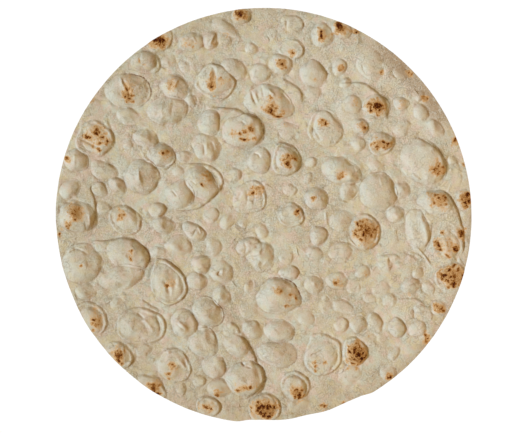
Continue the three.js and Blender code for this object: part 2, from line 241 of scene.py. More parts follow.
# Those rings: [height, shade, x, y, x, y, ...] in mm, clockwise and closed. Shade is the painted shade
# along it
rings = [
    [1.4, 0.5, -130, 66.5, -123.5, 69, -119, 67.8, -114, 64, -110, 60.5, -108.3, 56, -108.3, 52, -110, 49,
     -114, 45.5, -118.5, 42.8, -126, 43.5, -133, 46.5, -136, 51, -135.8, 56, -134, 61],
    [1.4, 0.45, -88, 49, -85.5, 51.5, -81, 52.8, -76, 52.7, -71, 51, -67, 48.5, -64.3, 45, -63.8, 41, -66,
     37, -71, 33.5, -77, 34.5, -83, 37.5, -87, 42],
    [1.6, 0.6, -49.5, 98, -48.5, 101.5, -45.5, 105, -40, 110, -33, 109.3, -29, 107.5, -25, 103.5, -21, 99,
     -20.5, 95, -22, 91, -25, 87, -30, 83.8, -36, 84, -42, 86.5, -47, 90.5, -49.8, 93.5],
    [1.2, 0.5, 11, 123.5, 13, 126, 17, 127.5, 22, 127.5, 26, 126, 28.5, 123, 29.3, 120, 28.5, 117, 26.5,
     114.8, 23, 113.3, 19, 113.2, 16, 115, 12.5, 116.5, 10.3, 120],
    [1.6, 0.5, 12, 53, 17, 52, 21.5, 50, 24.5, 46.5, 26.3, 43, 26.8, 39.5, 25.5, 36, 23.5, 32, 20, 29.8,
     15.5, 28.8, 10, 30, 6.5, 34, 5.8, 38.5, 6.5, 44, 8.5, 50],
    [1.3, 0.5, -109.5, 5.5, -103, 7.5, -98, 6.5, -93, 3, -89, -1, -88.5, -5, -89.5, -9.5, -93, -13, -98,
     -14, -104, -13, -109, -9.5, -112, -4, -112, 1],
    [1.9, 0.9, -80, -36, -77, -31.5, -70, -32.5, -65, -36, -60, -40.5, -56.7, -46, -55.2, -53, -57, -58,
     -61, -62, -68, -64.8, -74, -62.5, -79, -57, -82, -51, -82, -43],
    [1.3, 0.45, -22.5, 11, -20, 19, -15, 23, -10, 25, -5, 25, -1, 22, 1, 17, 1.7, 12, 1, 7, -3, 3.5, -12,
     1.7, -17, 2, -21, 5],
    [1.3, 0.4, 10.5, 3, 13, 7.5, 18, 9.8, 24, 8, 27.5, 4, 29.3, -0.5, 28.5, -4.5, 25, -7, 19, -8, 13, -6,
     10.5, -2],
    [1.6, 0.6, 65, -2, 69, 1, 75, 1, 80, -2, 83.5, -6.5, 84.5, -11, 83.5, -17, 80.5, -22, 74, -24.7, 69.5,
     -23.5, 65.5, -19.5, 62.7, -14.5, 62.5, -8],
    [1.5, 0.7, -136, -67, -131, -63, -126, -62.5, -120, -65, -116, -68.5, -113.7, -74, -113.5, -79, -116,
     -84, -121, -86.5, -128, -86, -137, -76],
    [1.6, 0.6, -106, -76, -104, -72, -98, -68, -92, -66.5, -86, -67, -79, -69.7, -74, -72.5, -71.3, -77,
     -71, -82, -73, -87.5, -78, -91, -86, -92.5, -95, -92, -102, -89.5, -106, -84],
    [1.5, 0.55, -72.5, -98, -66.5, -96, -60, -97.5, -56, -102, -53.5, -107, -52.5, -111, -53.3, -115, -56,
     -118.5, -61, -120.3, -67, -120, -72, -117.5, -76, -113, -77, -108, -75.5, -103],
    [1.7, 0.6, -11, -139, -10, -135, -6, -131, -1, -128.7, 4, -129, 8.5, -131.5, 11.5, -135.5, 12.5, -139.5,
     11.5, -143.5, 8, -147.5, 0, -150, -7, -148.5, -10, -144.5],
    [1.4, 0.45, 13, -118, 16, -114.5, 20, -112.7, 24.5, -112.8, 29, -115.5, 32.5, -119, 33.5, -123.5, 32.3,
     -128, 29, -131.5, 24, -133, 18, -131.5, 14, -128, 12.3, -123],
    [1.3, 0.5, 34.5, -86.5, 40, -85, 45.5, -86.3, 50.7, -88.7, 55, -91.5, 56, -97, 56.3, -103, 55, -108, 50,
     -113, 44, -115.5, 38, -115.5, 33, -112, 29.5, -107, 29.5, -101, 31, -95.5, 33, -90.5],
    [1.6, 0.6, 57.2, -97, 58.3, -91.5, 60.5, -88.8, 65, -87.8, 69.5, -89.3, 73, -92.5, 74.8, -97, 74.3,
     -102, 71.5, -106.5, 66.5, -109, 60.5, -108, 57.5, -103],
    [1.5, 0.7, -67, 133, -66.2, 128.5, -67.5, 124, -70.5, 120.7, -75, 118.8, -80, 119, -84, 121.5, -86, 126,
     -84, 132, -77, 136, -70, 136],
    [1.2, 0.4, -94, 116, -90, 119, -83, 119, -78, 116.5, -75.5, 112, -75, 107, -78, 103.5, -84, 103, -90,
     104, -95, 107, -96.5, 112],
    [1.4, 0.6, -113.5, -95.5, -111, -91.5, -107, -91, -103, -92, -99, -94.5, -96, -98.5, -94.3, -103, -96,
     -107.5, -100, -110.5, -106, -111, -112, -106, -114.5, -100],
    [1.2, 0.5, -91, -117.5, -89, -115.3, -85, -115.5, -78, -116.5, -74.5, -119.5, -72.5, -124, -70.5, -129,
     -73, -133, -82, -131, -90, -123],
    [1.4, 0.5, -49, -137, -48, -133, -45, -131, -40, -130.8, -35, -132.7, -31.7, -136, -31.3, -140, -33.5,
     -143.5, -38, -145.5, -44, -144.5, -48, -141.5],
    [1.4, 0.45, 76, 55, 79, 59, 84, 60.5, 89.5, 59, 93.5, 55.5, 94.5, 52, 92.5, 48, 89, 45, 84, 43.5, 79.5,
     44.5, 76.5, 48.5],
    [1.2, 0.35, 123.5, -43, 125, -39.5, 129, -37, 134, -34.8, 139, -34, 143, -36, 146, -42, 144.5, -50, 140,
     -55, 133, -55.5, 127, -52.5, 124, -48],
]
ringForm = {
    "share": 0.8,  # of the row's height
    "reach": 4,  # mm past its line that it can change
    "edge": (-0.4, 0.9),  # mm inside the line, where the skin starts to rise, and where it is up
    "crispWider": 0.7,  # how much wider that is on the crisp side
    "roll": (1.4, 0.8, 0.14),  # mm inside, half width, height
    "groove": (3.0, 0.7, 0.12),
    "shadeStrength": (0.45, 0.45),  # painted shade along the ring: all round, and more on the crisp side, away from the light
    "shadeFrom": (-0.5, 0.8),
    "shadeInside": 0.3,  # mm inside, where the painted shade runs
    "grooveShade": 0.45,  # painted shade in the groove, as a share of the other
}

# Blisters that stayed full
domes = [
    [-99, 90, 34, 24, 0, 5.4], [-65, 92.5, 21, 18, -20, 3.5], [-70.3, 76, 30, 20, 0, 5],
    [-99, 71.5, 17, 13, -15, 2.6], [-74.3, 43.8, 21, 17.5, -12, 4.6], [-85, 55.5, 19, 14, -10, 3.5],
    [-53, 126, 18, 13, 0, 3], [-39, 127, 14, 11, 80, 2.5], [-16, 145, 14, 13, 0, 3],
    [-28, 136, 22, 11, -32, 2.6], [-22, 106, 19, 16, -25, 3], [-3, 103, 16, 14, 0, 3.2],
    [11.2, 109.5, 17, 14, 0, 3.5], [20, 138, 17, 12, -10, 2.6], [42, 130, 18, 16, 90, 3.5],
    [56, 134, 14, 13, 0, 3], [3, 82, 36, 24, -12, 4], [35.3, 103, 21, 18, -48, 4],
    [54, 108, 12, 11, 0, 2.6], [-40, 66, 19, 17, 90, 3.8], [-45.7, 23.3, 27, 20.5, -35, 4.8],
    [-15.7, 60.5, 28, 26, 0, 4.8], [-42, 49, 22, 19, -30, 4], [-4, 40, 18, 17, 90, 4.5],
    [81, 79, 18, 17, 0, 3.4], [64.3, 79.5, 14, 13, 0, 2.2], [69.3, 64.3, 12.5, 11, 0, 2.4],
    [99.3, 81, 12, 11, 0, 3], [77, 109, 24, 19, 105, 2.6], [-136.5, 40, 16, 16, 0, 3.6],
    [-140, 19, 15, 14, 0, 3], [-116.5, 32.5, 23, 14, -22, 2.4], [-119.5, 18.5, 13, 10, -45, 2.2],
    [-105.7, 22, 14, 10, -30, 2.8], [-89, 28.5, 25, 23, 0, 5.5], [-61.5, 15.7, 22, 19, -30, 4.2],
    [-77, 4, 13, 12, -40, 3], [-73, -7, 16, 12, -20, 3.2], [-135, -1, 28, 22, 0, 5],
    [-133, -35, 30, 27, -10, 5.5], [-99, -28, 33, 22, -12, 4.5], [-103, -45, 33, 17, 10, 4],
    [-62.5, -23, 20, 14, -10, 3.4], [-51, -12, 18, 13, -15, 3.8], [-129, -55, 14, 12, 0, 3],
    [-46, -35, 14, 12, -20, 3], [-48.8, -46.6, 14, 13, 0, 3.4], [38, 12, 17.5, 17, 0, 4.2],
    [39.6, -14.6, 12.5, 12.5, 0, 2.8], [-11, -23.3, 18.5, 15, 0, 4.6], [-2.7, -30.5, 22, 20, -60, 3.8],
    [-31, -41, 18, 15, -15, 3.6], [-37, -23, 13, 13, 0, 2.4], [18, -41, 15, 11, 0, 3],
    [9.8, -58.5, 30.5, 26.5, -5, 6.5], [36.3, -50.7, 13, 13, 0, 2.6], [55, 32, 31, 18, -22, 4.5],
    [61.5, 17.3, 13, 14, 0, 2.4], [46, 63, 27, 22, 100, 3], [82, 17, 29, 26, -40, 5],
    [100, 19, 13, 11, -20, 2.8], [94.3, 1.7, 15, 12.5, 90, 3.6], [115.3, 38.7, 38, 28, 120, 3.6],
    [123, 9.5, 25, 17, -6, 3.4], [111, -12, 32, 19, 105, 3.8], [145, 12, 15, 14, 0, 3.2],
    [106.8, -50.5, 14, 12.5, 0, 3], [71, -41.5, 11, 10, 0, 2.4], [52.5, -47.3, 17, 12.5, 0, 2.6],
    [-58, -78, 21, 18, -50, 3.8], [-41.3, -70, 23, 19.5, -30, 4.8], [-31.8, -58.5, 16, 14.5, -80, 3.2],
    [-44, -91.5, 22, 20, -20, 4.2], [-14, -119, 27, 26, 0, 5], [-20, -94, 22, 15, -50, 2.8],
    [-36, -109, 18, 16.5, -30, 3.2], [-32, -125, 17, 15, 0, 3.6], [-9, -83, 17, 12, -35, 3],
    [10, -83.7, 22, 17.5, 0, 4.8], [9.3, -101, 29, 17.5, -4, 4], [68.2, -79, 13, 12, 0, 3],
    [55.5, -80, 11, 10.5, 0, 2.2], [95.5, -81.7, 15, 12, 110, 3.4], [126, -67, 12, 11, 90, 2.8],
    [80, -77.5, 15, 11, 100, 2.4], [90, -114, 14, 12, -30, 2.4],
]

# Low soft ones, where the skin hardly rose
soft = [
    [55, -27, 17, 15, 0, 2.2], [56, -4.5, 18, 15, 0, 2], [56, -66.3, 15, 10, -25, 1.8],
    [44, -63.5, 12, 9, 90, 1.5], [16, -30, 11, 9, 60, 1.5], [76, -90, 14, 10, 0, 1.1],
    [94, -100, 10, 8, 60, 1.6], [62, -115, 18, 15, 30, 1.8], [25, -137, 17, 10, 0, 1.4],
    [-87, -98, 11, 9, 0, 1.3], [-46.8, -119.6, 10, 9, 0, 1.8], [-26, -82, 9, 9, 0, 1.4],
    [-69, 112, 12, 9, 60, 1.4], [34.5, 89, 13, 13, 0, 1.6], [17, 60.8, 14, 12, 0, 1.4],
    [80.5, 36, 12, 9, -30, 1.4], [36.8, -26.8, 12.5, 10, -15, 1.8], [-12, -67, 16, 14, 0, 1.6],
    [90.8, -61.2, 12, 10, 0, 1.6], [-45, -81, 8, 7, 0, 1.4], [100, 63.5, 12, 11, 0, 1.6],
    [112, -42.5, 10, 9, 0, 1.6], [87.6, -35.9, 10, 9, 0, 1.5], [64.5, -51.5, 13, 10, 0, 1.2],
    [84, -53, 15, 11, 0, 1], [75.5, -59, 9, 9, 0, 1.4], [30.5, -74.6, 12, 10, 0, 1.2],
    [-30, 127.5, 14, 9, -35, 1],
]

# Edges where raised skin drops to its surroundings: [height, shade, x, y, x, y, ...] in mm, with the raised
# side on the right of the way the points run. Shade is how dark the painted shade at the foot of the drop
# is.
ledges = [
    [0.5, 0.3, -69, 101, -62, 100, -57, 96, -54, 91, -52, 86, -50.5, 82, -49, 77],
    [0.9, 0.35, 38, 51, 33, 57, 31.5, 62, 33.3, 69, 36, 73.5, 40, 75.7, 46, 75, 50.5, 70, 54, 65],
    [0.5, 0.3, 50, -18.3, 55, -19.3, 61, -20, 65.5, -22.8, 69.5, -26],
    [0.9, 0.65, -41, 79, -34, 78, -26, 77.5, -18.5, 76.5, -14.5, 74, -8, 71, -3, 68.5, 0, 62.5, -4, 54, -12,
     47.5],
    [1.0, 0.3, 12, 100, 20, 95.5, 25, 92, 27, 88, 28, 82],
    [1.2, 0.4, 52, 95, 70, 96, 78.5, 91.5, 83, 88, 87, 83, 89, 74, 89, 65.5],
    [0.6, 0.2, 52, 76, 57, 83, 63, 88],
    [0.9, 0.6, 106, 58, 114, 55, 121.5, 50, 126, 46.5, 128, 43, 130, 37, 131, 32.5, 129, 27.5, 125.5, 21],
    [0.7, 0.3, 120, 21, 115, 23, 110, 25, 105, 29.5],
    [0.6, 0.4, 105, 27, 101, 31.5, 98.5, 35.5],
    [0.6, 0.5, 97, 36, 97, 45],
    [2.0, 1.0, 125.5, 19.5, 131, 17, 135, 13.5, 138, 8, 140.5, 3, 142.5, -5.5, 144.2, -9.5, 144.5, -19.5,
     144.2, -25, 141.6, -30.5],
    [1.0, 0.6, 140, -32, 136, -34.5, 128, -37],
    [0.7, 0.5, 141.6, -30.5, 145, -37],
    [1.0, 0.6, 121.5, -4.7, 120, -14.5, 116.3, -24],
    [1.1, 0.6, -126, 19.5, -123.5, 14.5, -122, 9, -121.5, 3, -123, -3, -125, -11],
    [0.6, 0.3, -147, 9.3, -138, 8.3, -131, 6.7],
    [1.5, 0.8, -127, -21, -123, -18.5, -114, -18.4, -104, -16.5, -98, -17, -92, -19, -88, -22, -84, -26,
     -83.5, -31, -85, -36, -86.5, -40, -89, -43.5],
    [0.5, 0.3, -123, -48.6, -115, -52.7],
    [0.9, 0.6, -89, -60.5, -83, -64.6, -75, -69],
    [0.9, 0.7, -25, -77, -19.6, -80, -17, -85.3],
    [1.4, 0.8, -22.7, -86, -17, -87.4, -13, -90.5, -10.3, -95, -7.2, -100.3, -5.2, -106, -1.6, -111, 0,
     -116.3, -0.5, -120, -3.6, -125, -8.8, -129.7, -13, -132, -20, -133],
    [0.5, 0.3, -113.7, 68.7, -110, 61],
    [1.3, 0.7, -63, 36.5, -50, 37.3, -42, 36.8, -35, 33.5, -31, 29, -29.7, 24, -31, 20, -34, 16, -39, 11,
     -45, 7, -49, 5, -56, 4, -66, 5, -72, 10],
    [0.5, 0.3, -80, -12.4, -82, -6.7, -85, -2],
    [0.5, 0.3, 48.6, 22.7, 44, 28],
    [0.6, 0.3, 2, -46.5, 12, -46.5, 17, -48.6, 21.7, -51.7],
    [0.6, 0.3, -94, -99, -93.5, -104.4, -99, -110.6],
    [0.7, 0.3, 80.6, -30, 89, -28.7, 95, -28.4, 98, -31],
    [0.7, 0.3, 104, -26, 112, -28.4, 117, -32],
    [0.7, 0.3, 95.6, -60.5, 110, -60.5, 115, -64, 120, -68.7],
    [0.5, 0.3, 121, -65, 121, -76],
    [0.4, 0.2, 95, -8, 96, -14.5, 98, -19.7],
    [0.4, 0.2, 139, 41.8, 143, 27.4, 140.6, 21],
    [0.6, 0.3, 0, -18.6, 5, -22, 7.3, -26],
    [0.5, 0.7, -5, -16.3, -2.4, -20, -2, -24, -3.2, -29],
]

# Folds in the skin of the blisters: [height, width, shade, x, y, x, y, ...]. One with a height below 0 is
# a groove. Shade is how dark the painted shade along a fold is.
folds = [
    [-0.9, 2.2, 0.5, -102, 100, -101, 96.5, -98.7, 93, -97.7, 90, -97, 86, -98, 83.7],
    [0.5, 2, 0, -104, 101, -103, 97, -101, 92],
    [0.5, 2, 0, -94, 90, -91, 92.5, -88.5, 94],
    [-0.5, 1.6, 0.3, -88.5, 118.5, -89.4, 114, -89.4, 111],
    [-0.7, 1.8, 0.4, -64.6, 98.7, -67, 94, -67.7, 90],
    [0.5, 1.8, 0, -62, 98, -64, 94, -65, 90],
    [-0.35, 2.4, 0.1, -65, 84, -66.5, 76, -67, 70],
    [0.35, 3, 0, -78, 85, -78.8, 77, -78.5, 69],
    [0.35, 3, 0, -73.3, 86, -73.8, 77, -73.3, 68],
    [0.4, 1.5, 0, -51.7, 129.7, -50, 127, -48.6, 124.5],
    [0.5, 1.6, 0, -35, 132.8, -37, 128, -39.5, 122],
    [0.5, 1.6, 0, -13, 147.8, -14, 145, -16, 142],
    [-1.1, 3.2, 0.3, -38, 108.5, -35.6, 103, -37, 96.6, -37.7, 90],
    [-0.8, 1.8, 0.2, -9.3, 91, -8.3, 86.3, -5.7, 80],
    [0.6, 1.8, 0, -6.5, 90, -5.7, 86, -4, 80.6],
    [-0.6, 1.6, 0.1, -2, 94.6, -1, 90, -0.5, 85],
    [0.7, 2.4, 0, 1.6, 92.5, 5, 89, 8.3, 85.8],
    [-0.5, 1.5, 0.1, 16.6, 142, 16.2, 138, 16.6, 134],
    [-0.6, 1.8, 0.1, 70.8, 109, 72, 105, 74.4, 101.8],
    [-0.8, 2, 0.2, 35, 65, 37, 61, 39.3, 57.3, 41.4, 53],
    [0.6, 2.2, 0, 44.5, 4, 45, -2, 46, -8],
    [-0.4, 1.6, 0.3, -44.5, 52.7, -43.4, 49, -43, 43],
    [0.35, 2.2, 0, -41.3, 54, -41, 47, -41.3, 41],
    [-0.35, 1.8, 0.2, -38.5, 55, -36.5, 50, -36, 45],
    [-0.5, 1.4, 0.2, -16.5, 68.7, -15, 67, -13, 65.6],
    [-0.7, 1.5, 0.3, -7.8, 45, -4, 44, -3, 41],
    [0.3, 1.6, 0, -90.8, 39, -90.3, 31, -89, 23],
    [-0.2, 2, 0.1, -88, 30, -87.4, 24, -87, 19.6],
    [0.4, 1.6, 0, -136.4, 46, -136.4, 40, -136, 35],
    [-0.9, 1.8, 0.6, -133, 55, -127, 52.7, -120, 48.6],
    [-0.5, 1.5, 0.2, -53, 26, -51, 24, -49, 22],
    [-0.5, 1.5, 0.2, -66.6, 18.6, -64.5, 16, -62.5, 13.4],
    [-0.4, 1.3, 0.2, -1.6, 17, -0.5, 12, -2, 4.7],
    [-0.4, 1.3, 0.1, -19, 11.4, -17.5, 15, -16, 18],
    [-0.3, 1.4, 0.1, -13, 20, -12, 13, -13, 6],
    [-0.3, 1.4, 0.1, -8, 21, -7, 14, -8, 6],
    [-0.5, 1.6, 0.25, -15, -18.6, -13, -23, -14, -28],
    [0.2, 1.8, 0, -10.5, -18, -11, -24, -11.5, -29],
    [-0.5, 1.5, 0.1, -8.8, -31, -6, -31.5, -3, -31],
    [0.4, 1.5, 0, -48, -7, -46.5, -10.4, -45, -14],
    [-0.5, 1.4, 0.3, -53, -13.6, -51.7, -14.5, -50, -12, -48.6, -9.8],
    [-0.9, 1.8, 0.4, -31.5, -39.8, -33.6, -43.4],
    [0.4, 1.5, 0, -29.5, -37, -29.8, -40, -30.5, -44],
    [-0.7, 2.4, 0.35, -73, -45, -71.5, -48.6, -70, -51, -68.7, -57],
    [0.5, 2, 0, -66.6, -48, -66.4, -54, -67, -59],
    [0.6, 3, 0, -63, -43, -62, -48, -62.5, -53],
    [0.4, 2, 0, -62, -76, -58, -79.5, -54.5, -82.5],
    [-0.4, 2, 0.2, -64, -76.5, -61, -80, -57, -83],
    [-0.7, 1.8, 0.3, -92, -70, -89, -72.5, -86, -75.4],
    [-0.5, 1.8, 0.4, -78.5, -70.5, -75.5, -79, -75.5, -86],
    [0.5, 2.2, 0, -88, -73.5, -83, -79, -78.5, -86],
    [-0.4, 2.6, 0.2, -92, -72, -87, -78, -83, -86],
    [0.6, 2.4, 0, -63.5, -104, -60, -106, -56, -111.6],
    [-0.6, 1.5, 0.3, -68.7, -99, -65, -97.6, -61, -98],
    [-1.2, 1.6, 1.0, -16.5, -106, -15, -107.5, -13.4, -108.5],
    [-0.5, 1.4, 0.3, -13.4, -108.5, -11, -109.5, -8.3, -110],
    [-0.6, 1.6, 0.3, 32.6, -101.8, 36, -99.8, 43.4, -96.7],
    [-0.6, 1.6, 0.2, 0, -103.4, 6.7, -106.5, 13.5, -108],
    [0.5, 1.8, 0, -126, 1, -125.5, -4, -126, -9],
    [-0.5, 1.5, 0.3, -129, -4, -128.6, -8, -129, -11],
    [0.5, 1.8, 0, -102, -94, -101.6, -96.5, -102, -99],
    [-0.2, 2.2, 0.1, 83, 29, 83, 24, 83.5, 18],
    [0.2, 2.4, 0, 74, 29, 73, 21, 75, 12],
    [-0.5, 1.5, 0.1, 91, -30, 90.6, -33.5, 91, -37],
    [-0.5, 1.5, 0.1, 109, -66, 108.6, -71, 109, -76],
    [0.8, 1.8, 0, 109, -22, 115, -28, 120, -35, 121.5, -38],
    [0.5, 1.4, 0, 105, 30, 109, 28, 113, 25.5],
    [0.4, 1.4, 0, -90, 49, -88, 45, -86, 41],
    [0.4, 1.4, 0, 60.5, -15.5, 65, -20.7, 69.8, -24.3],
    [-0.5, 1.6, 0.4, -143.6, -28.4, -135.4, -24.3, -127, -28],
    [-0.6, 1.4, 0.5, -9.8, -133, -9.4, -139, -9, -145],
    [-0.5, 1.4, 0.3, 20.7, -115.3, 25, -116.5, 28, -119],
]

ledgeForm = {
    "reach": 12,  # mm past its line that it can change
    "ends": 0.15,  # share of the length over which each end fades
    "edge": (-0.9, 1.5),  # where the skin starts to rise, and where it is up
    "fall": (5, 1.5),  # how far behind the edge it is down again, and how suddenly
    "sunk": (0.9, 0.7, 0.12),  # the dip at its foot: mm out, half width, depth
    # painted shade at the foot of the drop: how far out, and how dark
    "shadeOut": 0.45,
    "shadeStrength": 0.8,
}
foldForm = {"reach": 3, "ends": 0.25, "times": 1.2}  # reach in widths, times the height

# Toasted places: [x, y, length, width, turn, strength] in mm and degrees
golden = [
    [-74, 125, 12, 8, 0, 0.5], [-87, 109, 7, 6, 0, 0.4], [-98, 88, 8, 15, 0, 0.9], [-67, 94, 5, 10, 0, 0.9],
    [-122, 57, 19, 16, -10, 0.6], [-71, 45.5, 12, 8, -10, 0.75], [-53.7, 125, 6, 5, 0, 0.6],
    [-28.5, 129.5, 8, 5, -30, 0.35], [-36, 124.5, 4, 4, 0, 0.6], [-17, 146.7, 7, 6, 0, 0.5],
    [-37, 96, 6, 12, 0, 0.9], [-30.5, 97, 6, 7, 0, 0.75], [11.4, 109.5, 10, 8, 0, 0.9],
    [20.3, 118.5, 7, 6, 0, 0.8], [40.6, 131, 5, 7, 0, 0.9], [56, 135, 9, 9, 0, 0.7],
    [65.6, 133, 5, 4, 0, 0.6], [67, 127.6, 5, 4, 0, 0.4], [54.8, 108, 7, 5, 0, 0.85],
    [5, 83, 10, 8, 0, 0.35], [5, 76, 13, 9, -15, 0.65], [-21, 59.4, 4, 4, 0, 0.9], [-13, 60, 14, 9, 0, 0.4],
    [41.9, 68.2, 6, 5, 0, 0.9], [17, 42, 13, 6, 10, 0.7], [81, 79, 13, 12, 0, 0.9],
    [66.2, 81, 6, 8, 0, 0.8], [70.8, 64.3, 8, 7, 0, 0.8], [86, 51, 15, 11, 0, 0.8],
    [99.8, 80.6, 8, 9, 0, 0.6], [105.4, 102.3, 5, 4.5, 0, 0.8], [117.3, 85.3, 6, 4.5, 0, 0.9],
    [84.5, 103.9, 6, 5, 0, 0.75], [-141, 40, 6, 7, 0, 0.8], [-143.6, 21.7, 4, 4, 0, 0.4],
    [-41.3, 27, 11.5, 10.5, 0, 0.45], [-136, 2, 8, 12, 0, 0.85], [-141.6, -7.3, 6, 5, 0, 0.8],
    [-102.8, 0, 6, 7, 0, 0.7], [-96.4, -28, 4, 8, 0, 0.6], [-66, -48.6, 6, 6, 0, 0.8],
    [-5, 18.5, 12, 9, 0, 0.75], [22.5, 2, 6, 5, 0, 0.7], [36.2, 12.9, 4, 4, 0, 0.6],
    [55, 27, 7, 5, 40, 0.8], [73, -11, 18, 18, 0, 0.75], [124, 33, 14, 10, 0, 0.8],
    [127, 11, 15, 13, 0, 0.8], [145.5, 12.5, 10, 13, 0, 0.85], [133, -21, 11, 10, 0, 0.55],
    [135, -44, 19, 18, 0, 0.9], [72.3, -41.9, 4, 4, 0, 0.8], [54.3, -49.2, 7, 6, 0, 0.6],
    [10.8, -54, 8, 7, 0, 0.6], [17, -62, 8, 8, 0, 0.35], [105.4, -56.3, 3, 3, 0, 0.8],
    [126, -67, 8, 6, 0, 0.8], [-121, -76, 10, 12, 0, 0.7], [-105, -101, 10, 11, 0, 0.8],
    [-66, -109, 7, 7, 0, 0.75], [-79, -124, 11, 8, -20, 0.85], [-15, -124, 8, 5, 0, 0.8],
    [-8.3, -122.5, 7, 5, 0, 0.6], [-33.6, -128, 5, 7, 0, 0.8], [-39.8, -138.5, 12, 9, 0, 0.6],
    [0, -139.5, 18, 15, 0, 0.95], [24, -128, 11, 11, 0, 0.85], [36, -108, 6, 9, 30, 0.4],
    [67, -100, 13, 16, 0, 0.95], [118.5, -87.5, 6, 6, 0, 0.8], [91, -116, 6, 6, 0, 0.8],
    [44, -138.5, 5, 4, 0, 0.6], [58, -135.7, 5, 4, 0, 0.6], [-124, 82, 8, 5, 40, 0.5],
    [-69, -116, 6, 6, 0, 0.5], [-100, 96, 6, 12, 20, 0.4], [138, 55.8, 5, 6, 0, 0.5],
]
brown = [
    [-76, 126, 11, 8.5, 0, 0.8], [-97, 85, 6, 8, 0, 0.8], [-99, 92, 3, 9, 15, 0.6],
    [-68.5, 46.3, 4.5, 5, 20, 1], [-17, 146.7, 5, 6, 0, 0.7], [-37.3, 94, 4.5, 7, 0, 0.8],
    [11.4, 109.5, 6, 5, 0, 0.5], [20.3, 117.5, 4, 3, 0, 0.7], [41, 129.5, 3.5, 7, 0, 0.8],
    [55.5, 136, 6, 8, 0, 0.9], [66, 133, 4, 3, 0, 0.7], [4.5, 76, 7, 5, 0, 0.6],
    [54.8, 108.2, 3.5, 2.5, 0, 0.5], [85, 104, 2.5, 2.5, 0, 0.5], [36.3, 12.7, 3, 3, 0, 0.7],
    [4, 78, 8, 8, -15, 0.5], [-10, 62.5, 3, 4, 0, 0.6], [42.5, 68.5, 4, 3, 0, 0.5],
    [20, 41.8, 7, 2.5, -15, 0.8], [17, 37.5, 4, 5, 0, 0.7], [81.5, 79, 8, 8, 0, 0.9],
    [77, 80, 3, 3, 0, 0.6], [71.5, 64, 4, 4, 0, 0.7], [86, 51, 11, 8, 0, 0.45], [117.3, 85.3, 4, 3, 0, 0.6],
    [105.4, 102.3, 3, 3, 0, 0.5], [138, 55.8, 3, 4, 0, 0.8], [-141.5, 41, 3, 3, 0, 0.7],
    [-43, 29.5, 3.5, 3, 0, 0.3], [-43.9, 21.6, 4, 1.8, -60, 0.9], [-136, 2.5, 5, 7, 0, 0.7],
    [-141.8, -8, 4, 3.5, 0, 0.7], [-102.6, 0, 3.5, 5, 0, 0.6], [-70.3, -51.2, 3, 3, 0, 0.7],
    [-4, 20.5, 6, 3, 0, 0.6], [22.6, 2.5, 4, 4, 0, 0.8], [55, 27, 4, 3, 40, 0.6], [73, -11, 13, 13, 0, 0.5],
    [124, 33.5, 9, 6, 0, 0.6], [127, 11, 10, 9, 0, 0.5], [146.5, 12.5, 6, 10, 0, 0.9],
    [142.4, -13.5, 3, 5, 0, 0.9], [135, -44, 14, 14, 0, 0.7], [10.6, -54, 4, 4, 0, 0.5],
    [126, -67, 5, 4, 0, 0.6], [-121, -77, 5, 6, 0, 0.4], [-104.6, -101.5, 5, 8, 0, 0.8],
    [-65.5, -108, 4, 5, 0, 0.6], [-79.5, -124.5, 6, 5, 0, 0.8], [-76.5, -128, 4, 3, 0, 0.8],
    [-33.6, -129.5, 3, 5, 0, 0.7], [0.5, -139.5, 13, 11, 0, 1], [24.5, -129, 6, 6, 0, 0.8],
    [67.5, -99.5, 10, 12, 0, 0.9], [118, -88, 4, 4, 0, 0.7], [91, -117, 4, 4, 0, 0.7],
    [44, -138.5, 3, 2, 0, 0.8], [58, -135.7, 3, 2, 0, 0.7], [-40, -138, 6, 4, 0, 0.4],
    [-15, -124.5, 5, 3, 0, 0.4],
]
